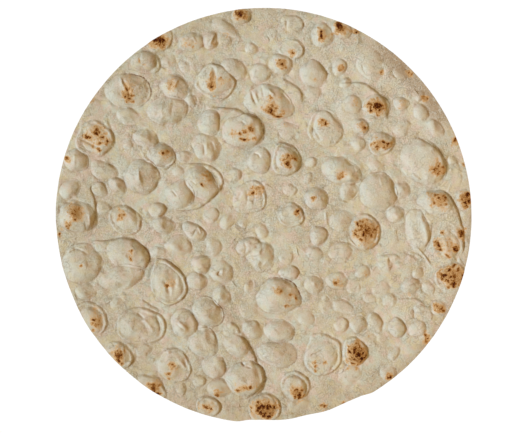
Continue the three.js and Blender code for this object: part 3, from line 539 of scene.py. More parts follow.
charred = [
    [-76, 126.2, 8.5, 5.5, -20, 1], [-121, 60, 2.4, 2.6, 0, 1], [-121, 63, 1.8, 3, 0, 0.8],
    [-128.6, 57.3, 3, 2, -20, 0.9], [-126.8, 56.6, 1.6, 1.6, 0, 0.8], [-117, 57.6, 1.6, 1.6, 0, 0.8],
    [-113.4, 54.2, 1.6, 1.6, 0, 0.8], [-118.3, 53.2, 2.2, 2, 0, 0.9], [-119.9, 48.6, 2.2, 2, 0, 0.9],
    [-72, 45, 1.8, 1.6, 0, 0.9], [-17, 146.8, 5, 4.6, 0, 1], [20.4, 117.5, 2, 1.6, 0, 0.8],
    [41.1, 129.2, 2.2, 5, 0, 0.7], [54.8, 137.4, 4, 7, 0, 1], [66.7, 132.8, 2, 1.6, 0, 0.8],
    [37.2, 99.2, 1.4, 1.4, 0, 0.3], [4.5, 75.5, 3, 2, 0, 0.9], [4.3, 73.3, 8, 1.5, -30, 0.8],
    [10.5, 71, 6, 1.3, -4, 0.9], [6.2, 84.2, 1.6, 1.6, 0, 0.6], [-17, 59.7, 2.2, 2, 0, 0.9],
    [-13.4, 61.2, 1.8, 1.6, 0, 0.8], [-10.3, 63.3, 2.2, 2.8, 0, 0.8], [-8.8, 61.5, 1.6, 1.6, 0, 0.7],
    [-13.4, 54.5, 2.2, 2, 0, 0.8], [-16.5, 55.3, 1.6, 1.6, 0, 0.7], [-8.5, 55.3, 1.6, 1.6, 0, 0.6],
    [41.9, 69.5, 1.6, 1.6, 0, 0.8], [44.7, 66.9, 1.6, 1.6, 0, 0.8], [17.1, 37.5, 2.8, 3.8, 0, 1],
    [22.8, 40.8, 2.4, 1.6, 0, 0.8], [81.7, 79, 3.6, 4.6, 0, 1], [78, 80.5, 1.8, 1.8, 0, 0.7],
    [72.3, 64, 1.8, 1.8, 0, 0.8], [80, 52.7, 1.8, 1.8, 0, 0.9], [85.8, 54.2, 2, 1.8, 0, 0.9],
    [89.7, 52.2, 2, 1.8, 0, 0.9], [86.3, 48.3, 1.8, 1.6, 0, 0.8], [81.7, 47, 1.6, 1.6, 0, 0.8],
    [81.2, 49, 1.4, 1.4, 0, 0.7], [138, 55.8, 1.8, 3.2, 0, 0.9], [145, 37.7, 1.2, 1.4, 0, 0.8],
    [-142, 41.6, 2.2, 2, 0, 0.8], [-137, 0.5, 1.8, 1.8, 0, 0.7], [-135.4, -3.6, 1.6, 1.6, 0, 0.7],
    [-142, -9.3, 1.8, 1.4, 0, 0.7], [-148.5, -12, 1.2, 1.4, 0, 0.8], [-101.3, 3.6, 1.6, 1.6, 0, 0.5],
    [-105, -3.6, 1.6, 1.6, 0, 0.5], [-96.1, -24.8, 1.6, 1.6, 0, 0.7], [-96.4, -30.5, 1.6, 1.6, 0, 0.7],
    [-131.8, -36.2, 1.6, 1.6, 0, 0.7], [-70.3, -51.2, 2.2, 2, 0, 0.8], [-9, 16.5, 2.2, 2, 0, 0.9],
    [23.5, 3.6, 2.4, 2, 0, 1], [66.1, -12.4, 2, 2, 0, 0.9], [77.3, -14.5, 2, 2, 0, 0.9],
    [68.2, -6.7, 1.8, 1.8, 0, 0.9], [71.3, -8, 1.6, 1.8, 0, 0.8], [71.8, -13.5, 1.8, 1.6, 0, 0.8],
    [70.3, -16.8, 1.8, 1.6, 0, 0.8], [74.9, -10.9, 4, 3.6, 0, 0.7], [79.6, -10.4, 1.8, 1.8, 0, 0.8],
    [81.4, -8.6, 1.6, 1.6, 0, 0.7], [123, 34, 2, 1.8, 0, 0.8], [125, 29.7, 1.8, 1.6, 0, 0.7],
    [128.2, 35, 1.6, 1.6, 0, 0.8], [130.2, 12, 2, 2, 0, 0.9], [130.2, 7.2, 2, 1.8, 0, 0.9],
    [123, 14, 1.8, 1.6, 0, 0.8], [125, 11.4, 1.8, 1.6, 0, 0.8], [122, 7.7, 1.6, 1.6, 0, 0.7],
    [147.3, 16, 2.4, 2.4, 0, 1], [148.3, 11, 2, 2.6, 0, 1], [147.3, 7.2, 1.4, 1.4, 0, 0.7],
    [142.4, -13.5, 2.2, 4.2, 0, 1], [129.1, -13.9, 1.8, 1.8, 0, 0.8], [125.8, -21.2, 2.2, 4.2, 0, 0.9],
    [126.6, -23.8, 1.8, 1.8, 0, 0.8], [131.5, -28.8, 4, 1.5, -42, 0.8], [138, -24.8, 3, 3, 0, 0.9],
    [137.2, -36.2, 2, 1.8, 0, 0.9], [133.9, -38.3, 2, 1.8, 0, 0.9], [128.4, -42.6, 2, 2.2, 0, 1],
    [131.3, -41.9, 1.8, 1.8, 0, 0.8], [128.7, -46, 2, 2, 0, 0.9], [133.3, -46.3, 2, 1.8, 0, 0.9],
    [137, -49.1, 2.6, 2.4, 0, 1], [137.2, -51.2, 2.2, 1.8, 0, 0.9], [143.1, -44.5, 1.8, 4.2, 0, 0.9],
    [137.5, -42.9, 1.8, 1.6, 0, 0.8], [132.8, -51.7, 1.8, 1.6, 0, 0.8], [51.7, -49, 1.6, 1.6, 0, 0.7],
    [12.2, -53.8, 1.8, 1.6, 0, 0.7], [15.8, -64.6, 2, 1.6, 0, 0.7], [19.7, -56.3, 1.6, 1.4, 0, 0.6],
    [22.8, -58.9, 1.2, 2.2, 0, 0.7], [124, -65.6, 2.4, 1.4, -20, 0.6], [128.2, -69.2, 2.2, 1.4, -30, 0.6],
    [-123.2, -75, 1.6, 1.6, 0, 0.9], [-124, -78, 1.6, 1.4, 0, 0.6], [-123, -83, 1.4, 1.6, 0, 0.6],
    [-104.9, -103.4, 2.6, 7, 0, 0.8], [-104.9, -106, 2.4, 2.4, 0, 1], [-102.8, -108, 1.8, 1.8, 0, 0.8],
    [-68.7, -114.5, 1.6, 1.6, 0, 0.7], [-68.4, -118.4, 2.2, 1.2, 0, 0.7], [-79.6, -125, 2.4, 5, 0, 0.8],
    [-76.5, -128.7, 2.6, 2.2, 0, 1], [-19.4, -126.4, 1.6, 1.6, 0, 0.8], [-10.6, -124, 1.8, 1.6, 0, 0.9],
    [-33.6, -130.8, 2, 2.2, 0, 0.8], [-40.8, -137.7, 2.2, 1.8, 0, 0.8], [-37, -140, 1.6, 1.4, 0, 0.7],
    [-43.5, -136.6, 1.5, 1.4, 0, 0.6], [3.1, -138, 2.6, 2.4, 0, 1], [-3.1, -139.5, 2.4, 2, 0, 1],
    [-2, -142.6, 2, 1.8, 0, 0.9], [0.5, -138, 2, 1.8, 0, 0.9], [-0.5, -144.7, 2.4, 2, 0, 1],
    [3.1, -145.2, 2.2, 2, 0, 1], [7.8, -138, 1.8, 2.2, 0, 0.9], [23.3, -126, 2.2, 1.6, 0, 0.8],
    [26.9, -126.6, 1.6, 1.6, 0, 0.8], [25.3, -130.2, 1.8, 2.8, 0, 1], [24.3, -131.8, 1.6, 1.6, 0, 0.9],
    [21.7, -131.3, 1.6, 1.6, 0, 0.8], [37, -105.7, 1.4, 1.4, 0, 0.6], [37.2, -108.5, 1.4, 1.4, 0, 0.6],
    [36.4, -111.1, 1.4, 1.4, 0, 0.6], [43.4, -105.7, 1.4, 1.4, 0, 0.4], [68.7, -99.8, 3.2, 2.4, 0, 0.9],
    [65.6, -103.4, 2, 1.8, 0, 0.9], [70.3, -102.9, 2, 1.8, 0, 0.9], [62, -97.2, 1.8, 1.8, 0, 0.9],
    [66.1, -96.7, 1.8, 1.6, 0, 0.8], [64.6, -107, 1.8, 1.6, 0, 0.8], [116.8, -86.6, 1.8, 1.6, 0, 0.8],
    [117.8, -91, 1.8, 1.4, 0, 0.7], [92, -116.8, 1.6, 1.6, 0, 0.9], [90, -118.1, 1.6, 1.4, 0, 0.8],
    [43.9, -138.5, 2.4, 1.6, 0, 0.9], [57.9, -135.7, 2.4, 1.2, 0, 0.7], [-43.9, 21.6, 2.6, 1, -60, 0.9],
    [-38, 25.5, 1.3, 1.3, 0, 0.5], [-39.7, 31.8, 1.3, 1.2, 0, 0.3], [-37.8, 29.9, 1.2, 1.2, 0, 0.3],
    [-37, 23, 1.2, 1.2, 0, 0.3], [-40.5, 28.4, 1.2, 1.2, 0, 0.3],
]
small = {  # the scattered blisters, in mm
    "count": 30,
    "seed": 20,
    "drawFactor": 16807,
    "drawModulus": 2147483647,
    "narrowest": 7,
    "widest": 11,
    "stretch": 0.35,
    "rise": 0.2,  # height as a share of the width
    "clearance": 1.5,
    "fromRim": 7,
}
drift = {  # the paler side of the bread, and the stretches near the rim that took more heat or less
    "bearing": 28,
    "strength": 0.15,
    "patches": (30, 45, 0.12),  # spacing, seed, strength
    "range": (-0.6, 1),
    # bearing, half width in degrees, share
    "tanned": [(95, 40, 1), (128, 30, 0.7), (182, 30, -0.4), (225, 45, 0.5), (282, 50, 1.5)],
    "from": 112,
}
rimShade = {  # painted shade on the rim, on stretches away from the light
    "stretches": [(42, 25, 138, 1), (330, 60, 144.5, 0.55)],  # bearing, half width, from mm, share
    "width": 5,
    "ragged": (6, 44),  # spacing, seed
    "fullAt": 0.6,
}

# The grid that the upper face is shaped in
gridReach = breadRadius + dough["margin"]
steps = int(2 * gridReach / dough["gridStep"])
axis = np.linspace(-gridReach, gridReach, steps)
gridX, gridY = np.meshgrid(axis, axis)
gridR = np.hypot(gridX, gridY)
gridBearing = np.degrees(np.arctan2(gridY, gridX)) % 360
tiny = 0.01  # mm, so that nothing is divided by 0


def smooth(value, low, high):  # 0 up to low and 1 from high on
    t = np.clip((value - low) / (high - low), 0, 1)
    return t * t * (3 - 2 * t)


def bump(bearing, middle, halfWidth):  # 1 at a bearing, and 0 from halfWidth degrees away
    return 1 - smooth(np.abs((bearing - middle + 540) % 360 - 180), 0, halfWidth)


def noise(spacing, seed, stretch=1):  # a smooth random field over the grid, with a spread of about 1
    cells = int(2 * gridReach / spacing) + 5
    lattice = np.random.default_rng(seed).standard_normal((cells, cells))
    for way, gap in ((0, spacing * stretch), (1, spacing)):  # stretch is how much longer it is along Y
        place = (axis - axis[0]) / gap + 1
        first = np.floor(place).astype(int)
        t = place - first
        weights = [(1 - t) ** 3, 3 * t**3 - 6 * t**2 + 4, 3 * (t**2 - t**3) + 3 * t + 1, t**3]
        shape = (-1, 1) if way == 0 else (1, -1)
        lattice = sum(w.reshape(shape) * lattice.take(first + k - 1, way) for k, w in enumerate(weights))
    return lattice / lattice.std()


def blurred(field, reach):  # a soft mean over about reach mm
    size = max(1, int(round(reach / dough["gridStep"] / 2)))
    for _ in range(3):
        for way in (0, 1):
            padding = [(size + 1, size) if k == way else (0, 0) for k in (0, 1)]
            total = np.cumsum(np.pad(field, padding, "edge"), way)
            high = np.take(total, range(2 * size + 1, total.shape[way]), way)
            low = np.take(total, range(0, total.shape[way] - 2 * size - 1), way)
            field = (high - low) / (2 * size + 1)
    return field


def patch(x, y, reach):  # the part of the grid within reach of a point
    firstRow, lastRow = np.searchsorted(axis, (y - reach, y + reach))
    firstColumn, lastColumn = np.searchsorted(axis, (x - reach, x + reach))
    return slice(firstRow, lastRow), slice(firstColumn, lastColumn)


def ovalPlace(row, here):  # along and across an oval, 1 being its edge
    x, y, length, width, turn = row[:5]
    cosTurn = math.cos(math.radians(turn))
    sinTurn = math.sin(math.radians(turn))
    dx = gridX[here] + warpX[here] - x
    dy = gridY[here] + warpY[here] - y
    return (dx * cosTurn + dy * sinTurn) / (length / 2), (dy * cosTurn - dx * sinTurn) / (width / 2)


def fromMiddle(row, here):  # share of the way out to an oval's edge, and how far to its crisp side
    x, y = row[:2]
    dx = gridX[here] - x
    dy = gridY[here] - y
    u, v = ovalPlace(row, here)
    around = np.arctan2(v, u)
    phase = x * blisters["lobeTurn"][0] + y * blisters["lobeTurn"][1]
    oval = blisters["ovalShare"] * np.cos(2 * around + phase)
    lobes = oval + blisters["lobeShare"] * np.cos(3 * around - 2 * phase)
    out = np.hypot(u, v) / (1 + lobes)
    crisp = math.radians(dough["crispBearing"])
    side = (dx * math.cos(crisp) + dy * math.sin(crisp)) / np.maximum(np.hypot(dx, dy), tiny)
    return out, side


def warpBy(seeds):  # mm, so that no blister is a plain oval
    return sum(noise(spacing, seed) * reach for (spacing, reach), seed in zip(warp["waves"], seeds))


def unevenSkin(kind):
    field = np.zeros_like(gridX)
    for spacing, height, seed, *stretch in kind["swell"]:
        field += noise(spacing, seed, *stretch) * height
    for spacing, height, seed, *stretch in kind["creases"]:
        field -= np.abs(noise(spacing, seed, *stretch)) * height
    return field + kind["lift"]


warpX = warpBy(warp["seedsX"])
warpY = warpBy(warp["seedsY"])


def ownDraw(row, seed):  # random numbers that belong to a blister's place
    return np.random.default_rng(int(abs(row[0]) * seed[0] + abs(row[1]) * seed[1]))


def fullnessOf(row):  # 0 for a blister with an even slope on its crisp side, 1 for one like a pillow
    share = ownDraw(row, blisters["fullSeed"]).uniform()
    return 0.5 + share / 2 if row[2] + row[3] > blisters["big"] else share


def domeRise(out, side, full):
    far = blisters["fallFar"][0] + blisters["fallFar"][1] * full
    near = blisters["fallCrisp"][0] + blisters["fallCrisp"][1] * full
    power = far + (near - far) * (side + 1) / 2
    return np.clip(1 - out**power, 0, 1) * (1 - blisters["flatter"] * full)


# Blisters with one broad flat side, by their x, y: its bearing, where it starts as a share of the way out,
# and its slope
roofs = {
    (-89, 28.5): (0, 0, 0.9),
    (-133, -35): (-5, 0.3, 1.1),
    (95.5, -81.7): (5, 0.3, 0.7),
    (115.3, 38.7): (-15, 0.55, 0.9),
    (9.8, -58.5): (-5, 0.3, 0.9),
    (-99, -28): (0, 0.25, 0.8),
    (-9, -83): (0, 0.2, 0.8),
    (10, -83.7): (15, 0.35, 1.0),
    (9.3, -101): (5, 0.45, 0.9),
    (-41.3, -70): (5, 0.1, 0.85),
    (-44, -91.5): (5, 0, 0.9),
    (-70.3, 76): (0, 0.22, 0.85),
    (-85, 55.5): (5, 0.15, 0.85),
    (3, 82): (20, 0.25, 0.55),
    (-11, -23.3): (5, 0.5, 1.2),
    (82, 17): (10, 0.7, 0.9),
    (38, 12): (-5, 0.5, 1.1),
    (-136.5, 40): (5, 0.5, 1.2),
}


def slack(row, here, rise, full):  # the skin hangs in flat planes on a dome's flanks
    u, v = ovalPlace(row, here)
    draw = ownDraw(row, blisters["planeSeed"])
    flatter = 1 - blisters["flatter"] * full
    softness = facets["softness"]
    total = np.exp(-rise / softness)
    roof = roofs.get(tuple(row[:2]))
    for bearing, top, slope in facets["planes"][1 if roof else 0:]:
        down = math.radians(bearing - row[4] + draw.normal(0, facets["unevenness"]))
        along = u * math.cos(down) + v * math.sin(down)
        top += facets["fuller"] * full + draw.normal(0, facets["spread"])
        plane = top - (slope + draw.normal(0, facets["spread"])) * along
        total += np.exp(-plane * flatter / softness)
    if roof:
        bearing, start, slope = roof
        down = math.radians(bearing - row[4])
        along = u * math.cos(down) + v * math.sin(down)
        total += np.exp(-(facets["roofTop"] - slope * (along - start)) * flatter / softness)
    return np.clip(-softness * np.log(total), 0, 1) * smooth(rise, 0, facets["foot"])


def smallBlisters():  # at random places, clear of the others
    state = small["seed"]

    def draw():
        nonlocal state
        state = state * small["drawFactor"] % small["drawModulus"]
        return state / small["drawModulus"]

    placed = []
    while len(placed) < small["count"]:
        r = (breadRadius - small["fromRim"]) * math.sqrt(draw())
        a = 2 * math.pi * draw()
        width = small["narrowest"] + (small["widest"] - small["narrowest"]) * draw() ** 2
        stretch = 1 + small["stretch"] * draw()
        turn = round(180 * draw())
        x = r * math.cos(a)
        y = r * math.sin(a)
        if all(math.hypot(row[0] - x, row[1] - y) > (row[2] + row[3]) / 4 + width / 2 + small["clearance"]
               for row in skirted + domes + soft + placed):
            placed.append([x, y, width * stretch, width, turn, width * small["rise"]])
    return placed


lines = {  # the thin brown lines of painted shade at the feet of blisters and ledges
    "reach": 3.0,  # mm to either side of one, past which none is kept
    "halfWidth": 0.9,
    "fade": (0.75, 0.3),  # its strength, and how much that varies
    "fadeRange": (0.2, 1.3),
    "patches": (9, 51),  # spacing, seed
    "footOut": 0.2,
    "footFrom": (-0.3, 0.9),
    "footShade": 0.06,  # painted shade for each mm of a blister's height
    "fullShade": 0.1,  # more painted shade on the crisp side of the fullest, away from the light
    "shown": (1.2, 2),  # mm from one, where its colour starts to end and has ended
}
liftEdge = (0.72, 1.05)  # where a broad lift falls away, as shares of the way out
lumps = unevenSkin(relief["blister"])
liftField = np.zeros_like(gridX)
riseField = np.zeros_like(gridX)
puff = np.zeros_like(gridX)
lineGap = np.full_like(gridX, lines["reach"])  # mm to the nearest brown line of painted shade, on either side of it
lineShare = np.zeros_like(gridX)  # how dark that painted shade is
lineSeen = np.zeros_like(gridX)
lineFade = np.clip(lines["fade"][0] + lines["fade"][1] * noise(*lines["patches"]), *lines["fadeRange"])


def drawLine(here, gap, strength):  # of two lines of painted shade, the one that shows more wins
    seen = strength * np.exp(-((gap / lines["halfWidth"]) ** 2))
    wins = seen > lineSeen[here]
    lineSeen[here] = np.where(wins, seen, lineSeen[here])
    lineGap[here] = np.where(wins, np.clip(gap, -lines["reach"], lines["reach"]), lineGap[here])
    lineShare[here] = np.where(wins, strength, lineShare[here])


def paintFootShade(row, here, out, side, allRound, crisp):  # the thin brown line of painted shade at a blister's foot
    fromFoot = (1 - out) * (row[2] + row[3]) / 4
    strength = allRound + crisp * smooth(side, *lines["footFrom"])
    drawLine(here, fromFoot + lines["footOut"], strength * lineFade[here])


def raiseDome(field, row, here, out, side, full, height, lumpiness=1):
    rise = slack(row, here, domeRise(out, side, full), full)
    raised = height * blisters["fullness"] * rise * (1 + lumpiness * lumps[here])
    field[here] = np.maximum(field[here], raised)
    puff[here] = np.maximum(puff[here], smooth(rise, 0, blisters["puffedBy"]))


def placeOf(row):
    return patch(row[0], row[1], max(row[2], row[3]) * blisters["reach"])


for row in lifts:
    here = placeOf(row)
    out = fromMiddle(row, here)[0]
    liftField[here] = np.maximum(liftField[here], row[5] * (1 - smooth(out, *liftEdge)))
for row in domes + soft + smallBlisters():
    here = placeOf(row)
    out, side = fromMiddle(row, here)
    out /= 1 + blisters["overhang"] * smooth(side, *blisters["crispFrom"])
    full = fullnessOf(row)
    raiseDome(riseField, row, here, out, side, full, row[5])
    # painted shade at the foot, more on the crisp side of the fullest, away from the light
    shadeStrength = lines["footShade"] * row[5]
    paintFootShade(row, here, out, side, shadeStrength, shadeStrength + lines["fullShade"] * full * row[5])
innerField = np.zeros_like(gridX)
for row in skirted:
    here = placeOf(row)
    shift = blisters["innerShift"] * row[3]
    bearing = row[0] * blisters["innerTurn"][0] + row[1] * blisters["innerTurn"][1]
    inner = [row[0] + shift * math.cos(bearing), row[1] + shift * math.sin(bearing),
             row[2] * blisters["innerShare"], row[3] * blisters["innerShare"], row[4]]
    out, side = fromMiddle(inner, here)
    height = blisters["innerHeight"] * row[5]
    raiseDome(innerField, inner, here, out, side, fullnessOf(row), height, blisters["innerLumps"])
    paintFootShade(inner, here, out, side, lines["footShade"] * row[5], 0)
print("blisters raised:", len(lifts) + len(skirted) + len(domes) + len(soft))


def curve(numbers, closed=False, step=0.5):  # points every step along a smooth line through the given ones
    points = np.array(numbers, float).reshape(-1, 2)
    if len(points) == 2:
        points = np.array([points[0], points.mean(0), points[1]])
    if closed:
        padded = np.vstack([points[-1], points, points[:2]])
        points = np.vstack([points, points[:1]])
    else:
        padded = np.vstack([2 * points[0] - points[1], points, 2 * points[-1] - points[-2]])
    places = []
    for a, b, c, d in zip(padded, padded[1:], padded[2:], padded[3:]):
        count = max(2, int(np.hypot(*(c - b)) / step))
        t = np.linspace(0, 1, count, endpoint=False)[:, None]
        places.append(0.5 * (2 * b + (c - a) * t + (2 * a - 5 * b + 4 * c - d) * t**2
                             + (3 * b - a - 3 * c + d) * t**3))
    return np.vstack(places + [points[-1:]])


def alongCurve(numbers, reach, closed=False):  # mm to the right of a line, and share of the way along it
    line = curve(numbers, closed)
    middle = (line.min(0) + line.max(0)) / 2
    here = patch(*middle, np.ptp(line, axis=0).max() / 2 + reach)
    flat = np.stack([gridX[here].ravel(), gridY[here].ravel()], 1)
    best = np.full(len(flat), np.inf)
    nearest = np.zeros(len(flat), int)
    for index, place in enumerate(line):
        away = ((flat - place) ** 2).sum(1)
        closer = away < best
        best[closer] = away[closer]
        nearest[closer] = index
    heading = np.gradient(line, axis=0)
    if closed:
        heading[0] = heading[-1] = line[1] - line[-2]
    heading /= np.linalg.norm(heading, axis=1)[:, None]
    offset = flat - line[nearest]
    aside = heading[nearest, 1] * offset[:, 0] - heading[nearest, 0] * offset[:, 1]
    shape = gridX[here].shape
    signed = np.sqrt(best) * np.where(aside >= 0, 1, -1)
    return here, signed.reshape(shape), (nearest / (len(line) - 1)).reshape(shape)


ringField = np.zeros_like(gridX)
for height, shaded, *numbers in rings:
    here, inside = alongCurve(numbers, ringForm["reach"], closed=True)[:2]
    middle = curve(numbers, closed=True).mean(0)
    dx = gridX[here] - middle[0]
    dy = gridY[here] - middle[1]
    side = (dx + dy) / math.sqrt(2) / np.maximum(np.hypot(dx, dy), tiny)
    wider = 1 + ringForm["crispWider"] * smooth(side, *blisters["crispFrom"])
    raised = ringForm["share"] * height * smooth(inside / wider, *ringForm["edge"])
    for (place, halfWidth, rise), sign in ((ringForm["roll"], 1), (ringForm["groove"], -1)):
        raised += sign * rise * lineFade[here] * np.exp(-(((inside - place) / halfWidth) ** 2))
    ringField[here] = np.maximum(ringField[here], raised)
    # painted shade along the ring, darker on the crisp side, away from the light, and weaker along its
    # groove
    allRound, crispMore = ringForm["shadeStrength"]
    darkness = shaded * (allRound + crispMore * smooth(side, *ringForm["shadeFrom"])) * lineFade[here]
    drawLine(here, inside + ringForm["shadeInside"], darkness)
    drawLine(here, inside - ringForm["groove"][0], darkness * ringForm["grooveShade"])
blisterField = np.maximum(riseField, ringField + innerField)
pressedWidth, pressedShare = blisters["pressed"]
blisterField *= 1 - pressedShare * smooth(gridR, breadRadius - pressedWidth, breadRadius)
print("rings raised:", len(rings))

ledgeField = np.zeros_like(gridX)


def taperOf(along, ends):  # 0 at both ends of a line
    return smooth(along, 0, ends) * (1 - smooth(along, 1 - ends, 1))


for height, shaded, *numbers in ledges:
    here, aside, along = alongCurve(numbers, ledgeForm["reach"])
    taper = taperOf(along, ledgeForm["ends"])
    fallWidth, fallPower = ledgeForm["fall"]
    raised = smooth(aside, *ledgeForm["edge"]) * np.exp(-(np.maximum(aside, 0) / fallWidth) ** fallPower)
    dipOut, dipHalfWidth, dipDepth = ledgeForm["sunk"]
    sunk = np.exp(-(((aside + dipOut) / dipHalfWidth) ** 2)) * dipDepth
    ledgeField[here] += taper * (height * raised - sunk)
    # painted shade at the foot of the drop
    drawLine(here, aside + ledgeForm["shadeOut"], ledgeForm["shadeStrength"] * shaded * taper)
for height, width, shaded, *numbers in folds:
    here, aside, along = alongCurve(numbers, foldForm["reach"] * width)
    taper = taperOf(along, foldForm["ends"])
    line = np.exp(-((aside / (width / 2)) ** 2)) * taper
    ledgeField[here] += foldForm["times"] * height * line
    # painted shade along the fold
    drawLine(here, aside, shaded * taper)
print("ledges and folds drawn:", len(ledges) + len(folds))

shades = {  # how the skin's form is painted into its colour as painted light and shade, in mm and slopes
    "facingBlur": 0.8,
    "facing": (0.04, 0.42),
    "coolFacing": (0.05, 0.42),
    "raised": (0.05, 0.4),
    "spilledShade": (2, 1.6, 0.6),  # painted shade past a blister's foot on the crisp side: blur, shift and share
    "edgeReach": 1.4,
    # painted shade in hollows and painted light on crests: reach in mm, and where each starts and is full
    "cavityReach": 2.4,
    "cavityShade": (0.05, 0.55),
    "crestReach": 3.2,
    "crestLight": (0.1, 0.7),
}
wrinkled = {"share": 0.75, "from": (0.1, 0.9)}  # of the puffed skin
skin = unevenSkin(relief["sheet"])
wrinkles = unevenSkin(relief["wrinkles"]) * wrinkled["share"] * smooth(puff, *wrinkled["from"])
upperFace = dough["thickness"] + skin + liftField + blisterField + ledgeField + wrinkles
slopeY, slopeX = np.gradient(upperFace, axis[1] - axis[0])
crisp = math.radians(dough["crispBearing"])
falling = slopeX * math.cos(crisp) + slopeY * math.sin(crisp)  # below 0 on a drop to the crisp side
facing = blurred(-falling, shades["facingBlur"])
raisedSkin = smooth(blisterField + ledgeField, *shades["raised"])
# Painted shade on flanks that face away from the light, and painted light on those that face it
flankShade = smooth(facing, *shades["facing"]) * raisedSkin
spillBlur, spillShift, spillShare = shades["spilledShade"]
spilledShade = np.roll(blurred(flankShade, spillBlur), int(spillShift / dough["gridStep"]), 1)
flankShade = np.maximum(flankShade, spillShare * spilledShade)
flankLight = smooth(-facing, *shades["coolFacing"]) * raisedSkin
# Painted highlight and painted shade at sharp edges: above 0 on a crest's lit side, below 0 in the shade
# behind it
edgeLightShade = (1 + falling) / np.sqrt(1 + slopeX**2 + slopeY**2)
edgeLightShade -= blurred(edgeLightShade, shades["edgeReach"])


# What the oven did to the skin, and the rim's painted shade, as fields over the same grid. A spot's edge is
# ragged by (spacing, seed, strength), and the halo of a charred spot is (times its size, times its
# strength)
spotForms = {
    "golden": {"softness": 0.5, "ragged": (3, 41, 0.25), "halo": (2.6, 0.5)},
    "brown": {"softness": 0.5, "ragged": (1.6, 42, 0.3), "halo": (1.8, 0.7)},
    "charred": {"softness": 0.45, "ragged": (1, 43, 0.2)},
}
spotReach = (0.9, 2)  # within which a spot changes the grid: times its longer side, and mm more
onBlister = {"height": 1.2, "edge": (0.3, 1.1)}  # a spot that lies this high stays on its blister


def paintSpots(spots, form):
    field = np.zeros_like(gridX)
    spacing, seed, raggedness = form["ragged"]
    ragged = noise(spacing, seed) * raggedness
    for row in spots:
        here = patch(row[0], row[1], max(row[2], row[3]) * spotReach[0] + spotReach[1])
        edge = fromMiddle(row, here)[0] * (1 + ragged[here])
        spot = row[5] * (1 - smooth(edge, 1 - form["softness"], 1 + form["softness"]))
        column, line = np.searchsorted(axis, row[:2])
        if blisterField[line, column] > onBlister["height"]:
            spot *= smooth(blisterField[here], *onBlister["edge"])
        field[here] = np.maximum(field[here], spot)
    return field


def withHalos(spots, form):
    times, strength = form["halo"]
    return spots + [[x, y, length * times, width * times, turn, share * strength]
                    for x, y, length, width, turn, share in charred]


goldenField = paintSpots(withHalos(golden, spotForms["golden"]), spotForms["golden"])
brownField = paintSpots(withHalos(brown, spotForms["brown"]), spotForms["brown"])
charField = paintSpots(charred, spotForms["charred"])
# Painted shade on the rim, on the side away from the light
rimShadeField = np.zeros_like(gridX)
for middle, halfWidth, start, share in rimShade["stretches"]:
    dried = smooth(gridR + noise(*rimShade["ragged"]), start, start + rimShade["width"]) * share
    stretch = smooth(bump(gridBearing, middle, halfWidth), 0, rimShade["fullAt"])
    rimShadeField = np.maximum(rimShadeField, dried * stretch)
acrossBread = np.cos(np.radians(gridBearing - drift["bearing"])) * gridR / breadRadius
patchSpacing, patchSeed, patchStrength = drift["patches"]
paleField = np.clip(0.5 + 0.5 * acrossBread + patchStrength * noise(patchSpacing, patchSeed), 0, 1)
tanned = sum(share * bump(gridBearing, middle, halfWidth) for middle, halfWidth, share in drift["tanned"])
paleField = np.clip(paleField - tanned * smooth(gridR, drift["from"], breadRadius), *drift["range"])
print("toasted places:", len(golden) + len(brown) + len(charred))


def outlineAt(bearing):
    away = np.abs(bearing - outline["flatBearing"])
    flat = 1 - smooth(away, outline["flatHalfWidth"] - outline["flatSoftness"], outline["flatHalfWidth"])
    wave = outline["flatWave"] * np.cos(away * 2 * np.pi / outline["flatWaveDegrees"])
    return breadRadius - (outline["flatDepth"] + wave) * flat


def settle(x, y, z):  # the rim's thinning and its soft lift off the table
    r = np.hypot(x, y)
    bearing = np.degrees(np.arctan2(y, x))
    atRim = smooth(r, rim["thinFrom"], breadRadius)
    thin = 1 - rim["thinShare"] * atRim * bump(bearing, rim["thinBearing"], rim["thinHalfWidth"])
    reach = np.clip((r - rim["liftFrom"]) / (breadRadius - rim["liftFrom"]), 0, 1) ** 2
    lift = sum(share * bump(bearing, middle, halfWidth) for middle, halfWidth, share in rim["liftWaves"])
    return z * thin + rim["liftHeight"] * lift * reach


def readGrid(field, x, y):  # the field's value at any points
    step = axis[1] - axis[0]
    column = np.clip((x - axis[0]) / step, 0, steps - 1.001)
    row = np.clip((y - axis[0]) / step, 0, steps - 1.001)
    c = column.astype(int)
    r = row.astype(int)
    fc = column - c
    fr = row - r
    upper = field[r, c] * (1 - fc) + field[r, c + 1] * fc
    lower = field[r + 1, c] * (1 - fc) + field[r + 1, c + 1] * fc
    return upper * (1 - fr) + lower * fr


# The mesh: two discs of rings, joined by the cut wall of the rim
meshSizes = {
    "topRings": 300,
    "bottomRings": 50,
    "edgeRound": 0.35,  # mm, of the rim's upper edge
    "wall": [(0.97, 0.12), (0.86, 0.02), (0.6, -0.04), (0.3, 0.0), (0.06, 0.18)],  # share up, mm inwards
    "lowerEdge": 0.3,  # mm further in, where the underside starts
    "triangles": 188000,
    "keepRim": (0.6, 0.5, 1.2),  # share of the thinning that the rim is spared, and how many mm in
    "keepDetail": (0.8, 0.05, 0.4),  # and that strong detail is
    # more triangles kept where the painted edge light and shade is strong
    "edgeLightShadeDetail": 1.5,
    "keepFactor": 4,
    "sharpFrom": 42,  # degrees between two faces
}


def discPlaces(rings):  # bearings and shares of the radius
    bearings = [np.zeros(1)]
    shares = [np.zeros(1)]
    for ring in range(1, rings + 1):
        bearings.append(np.arange(6 * ring) * 60 / ring)
        shares.append(np.full(6 * ring, ring / rings))
    return np.concatenate(bearings), np.concatenate(shares)


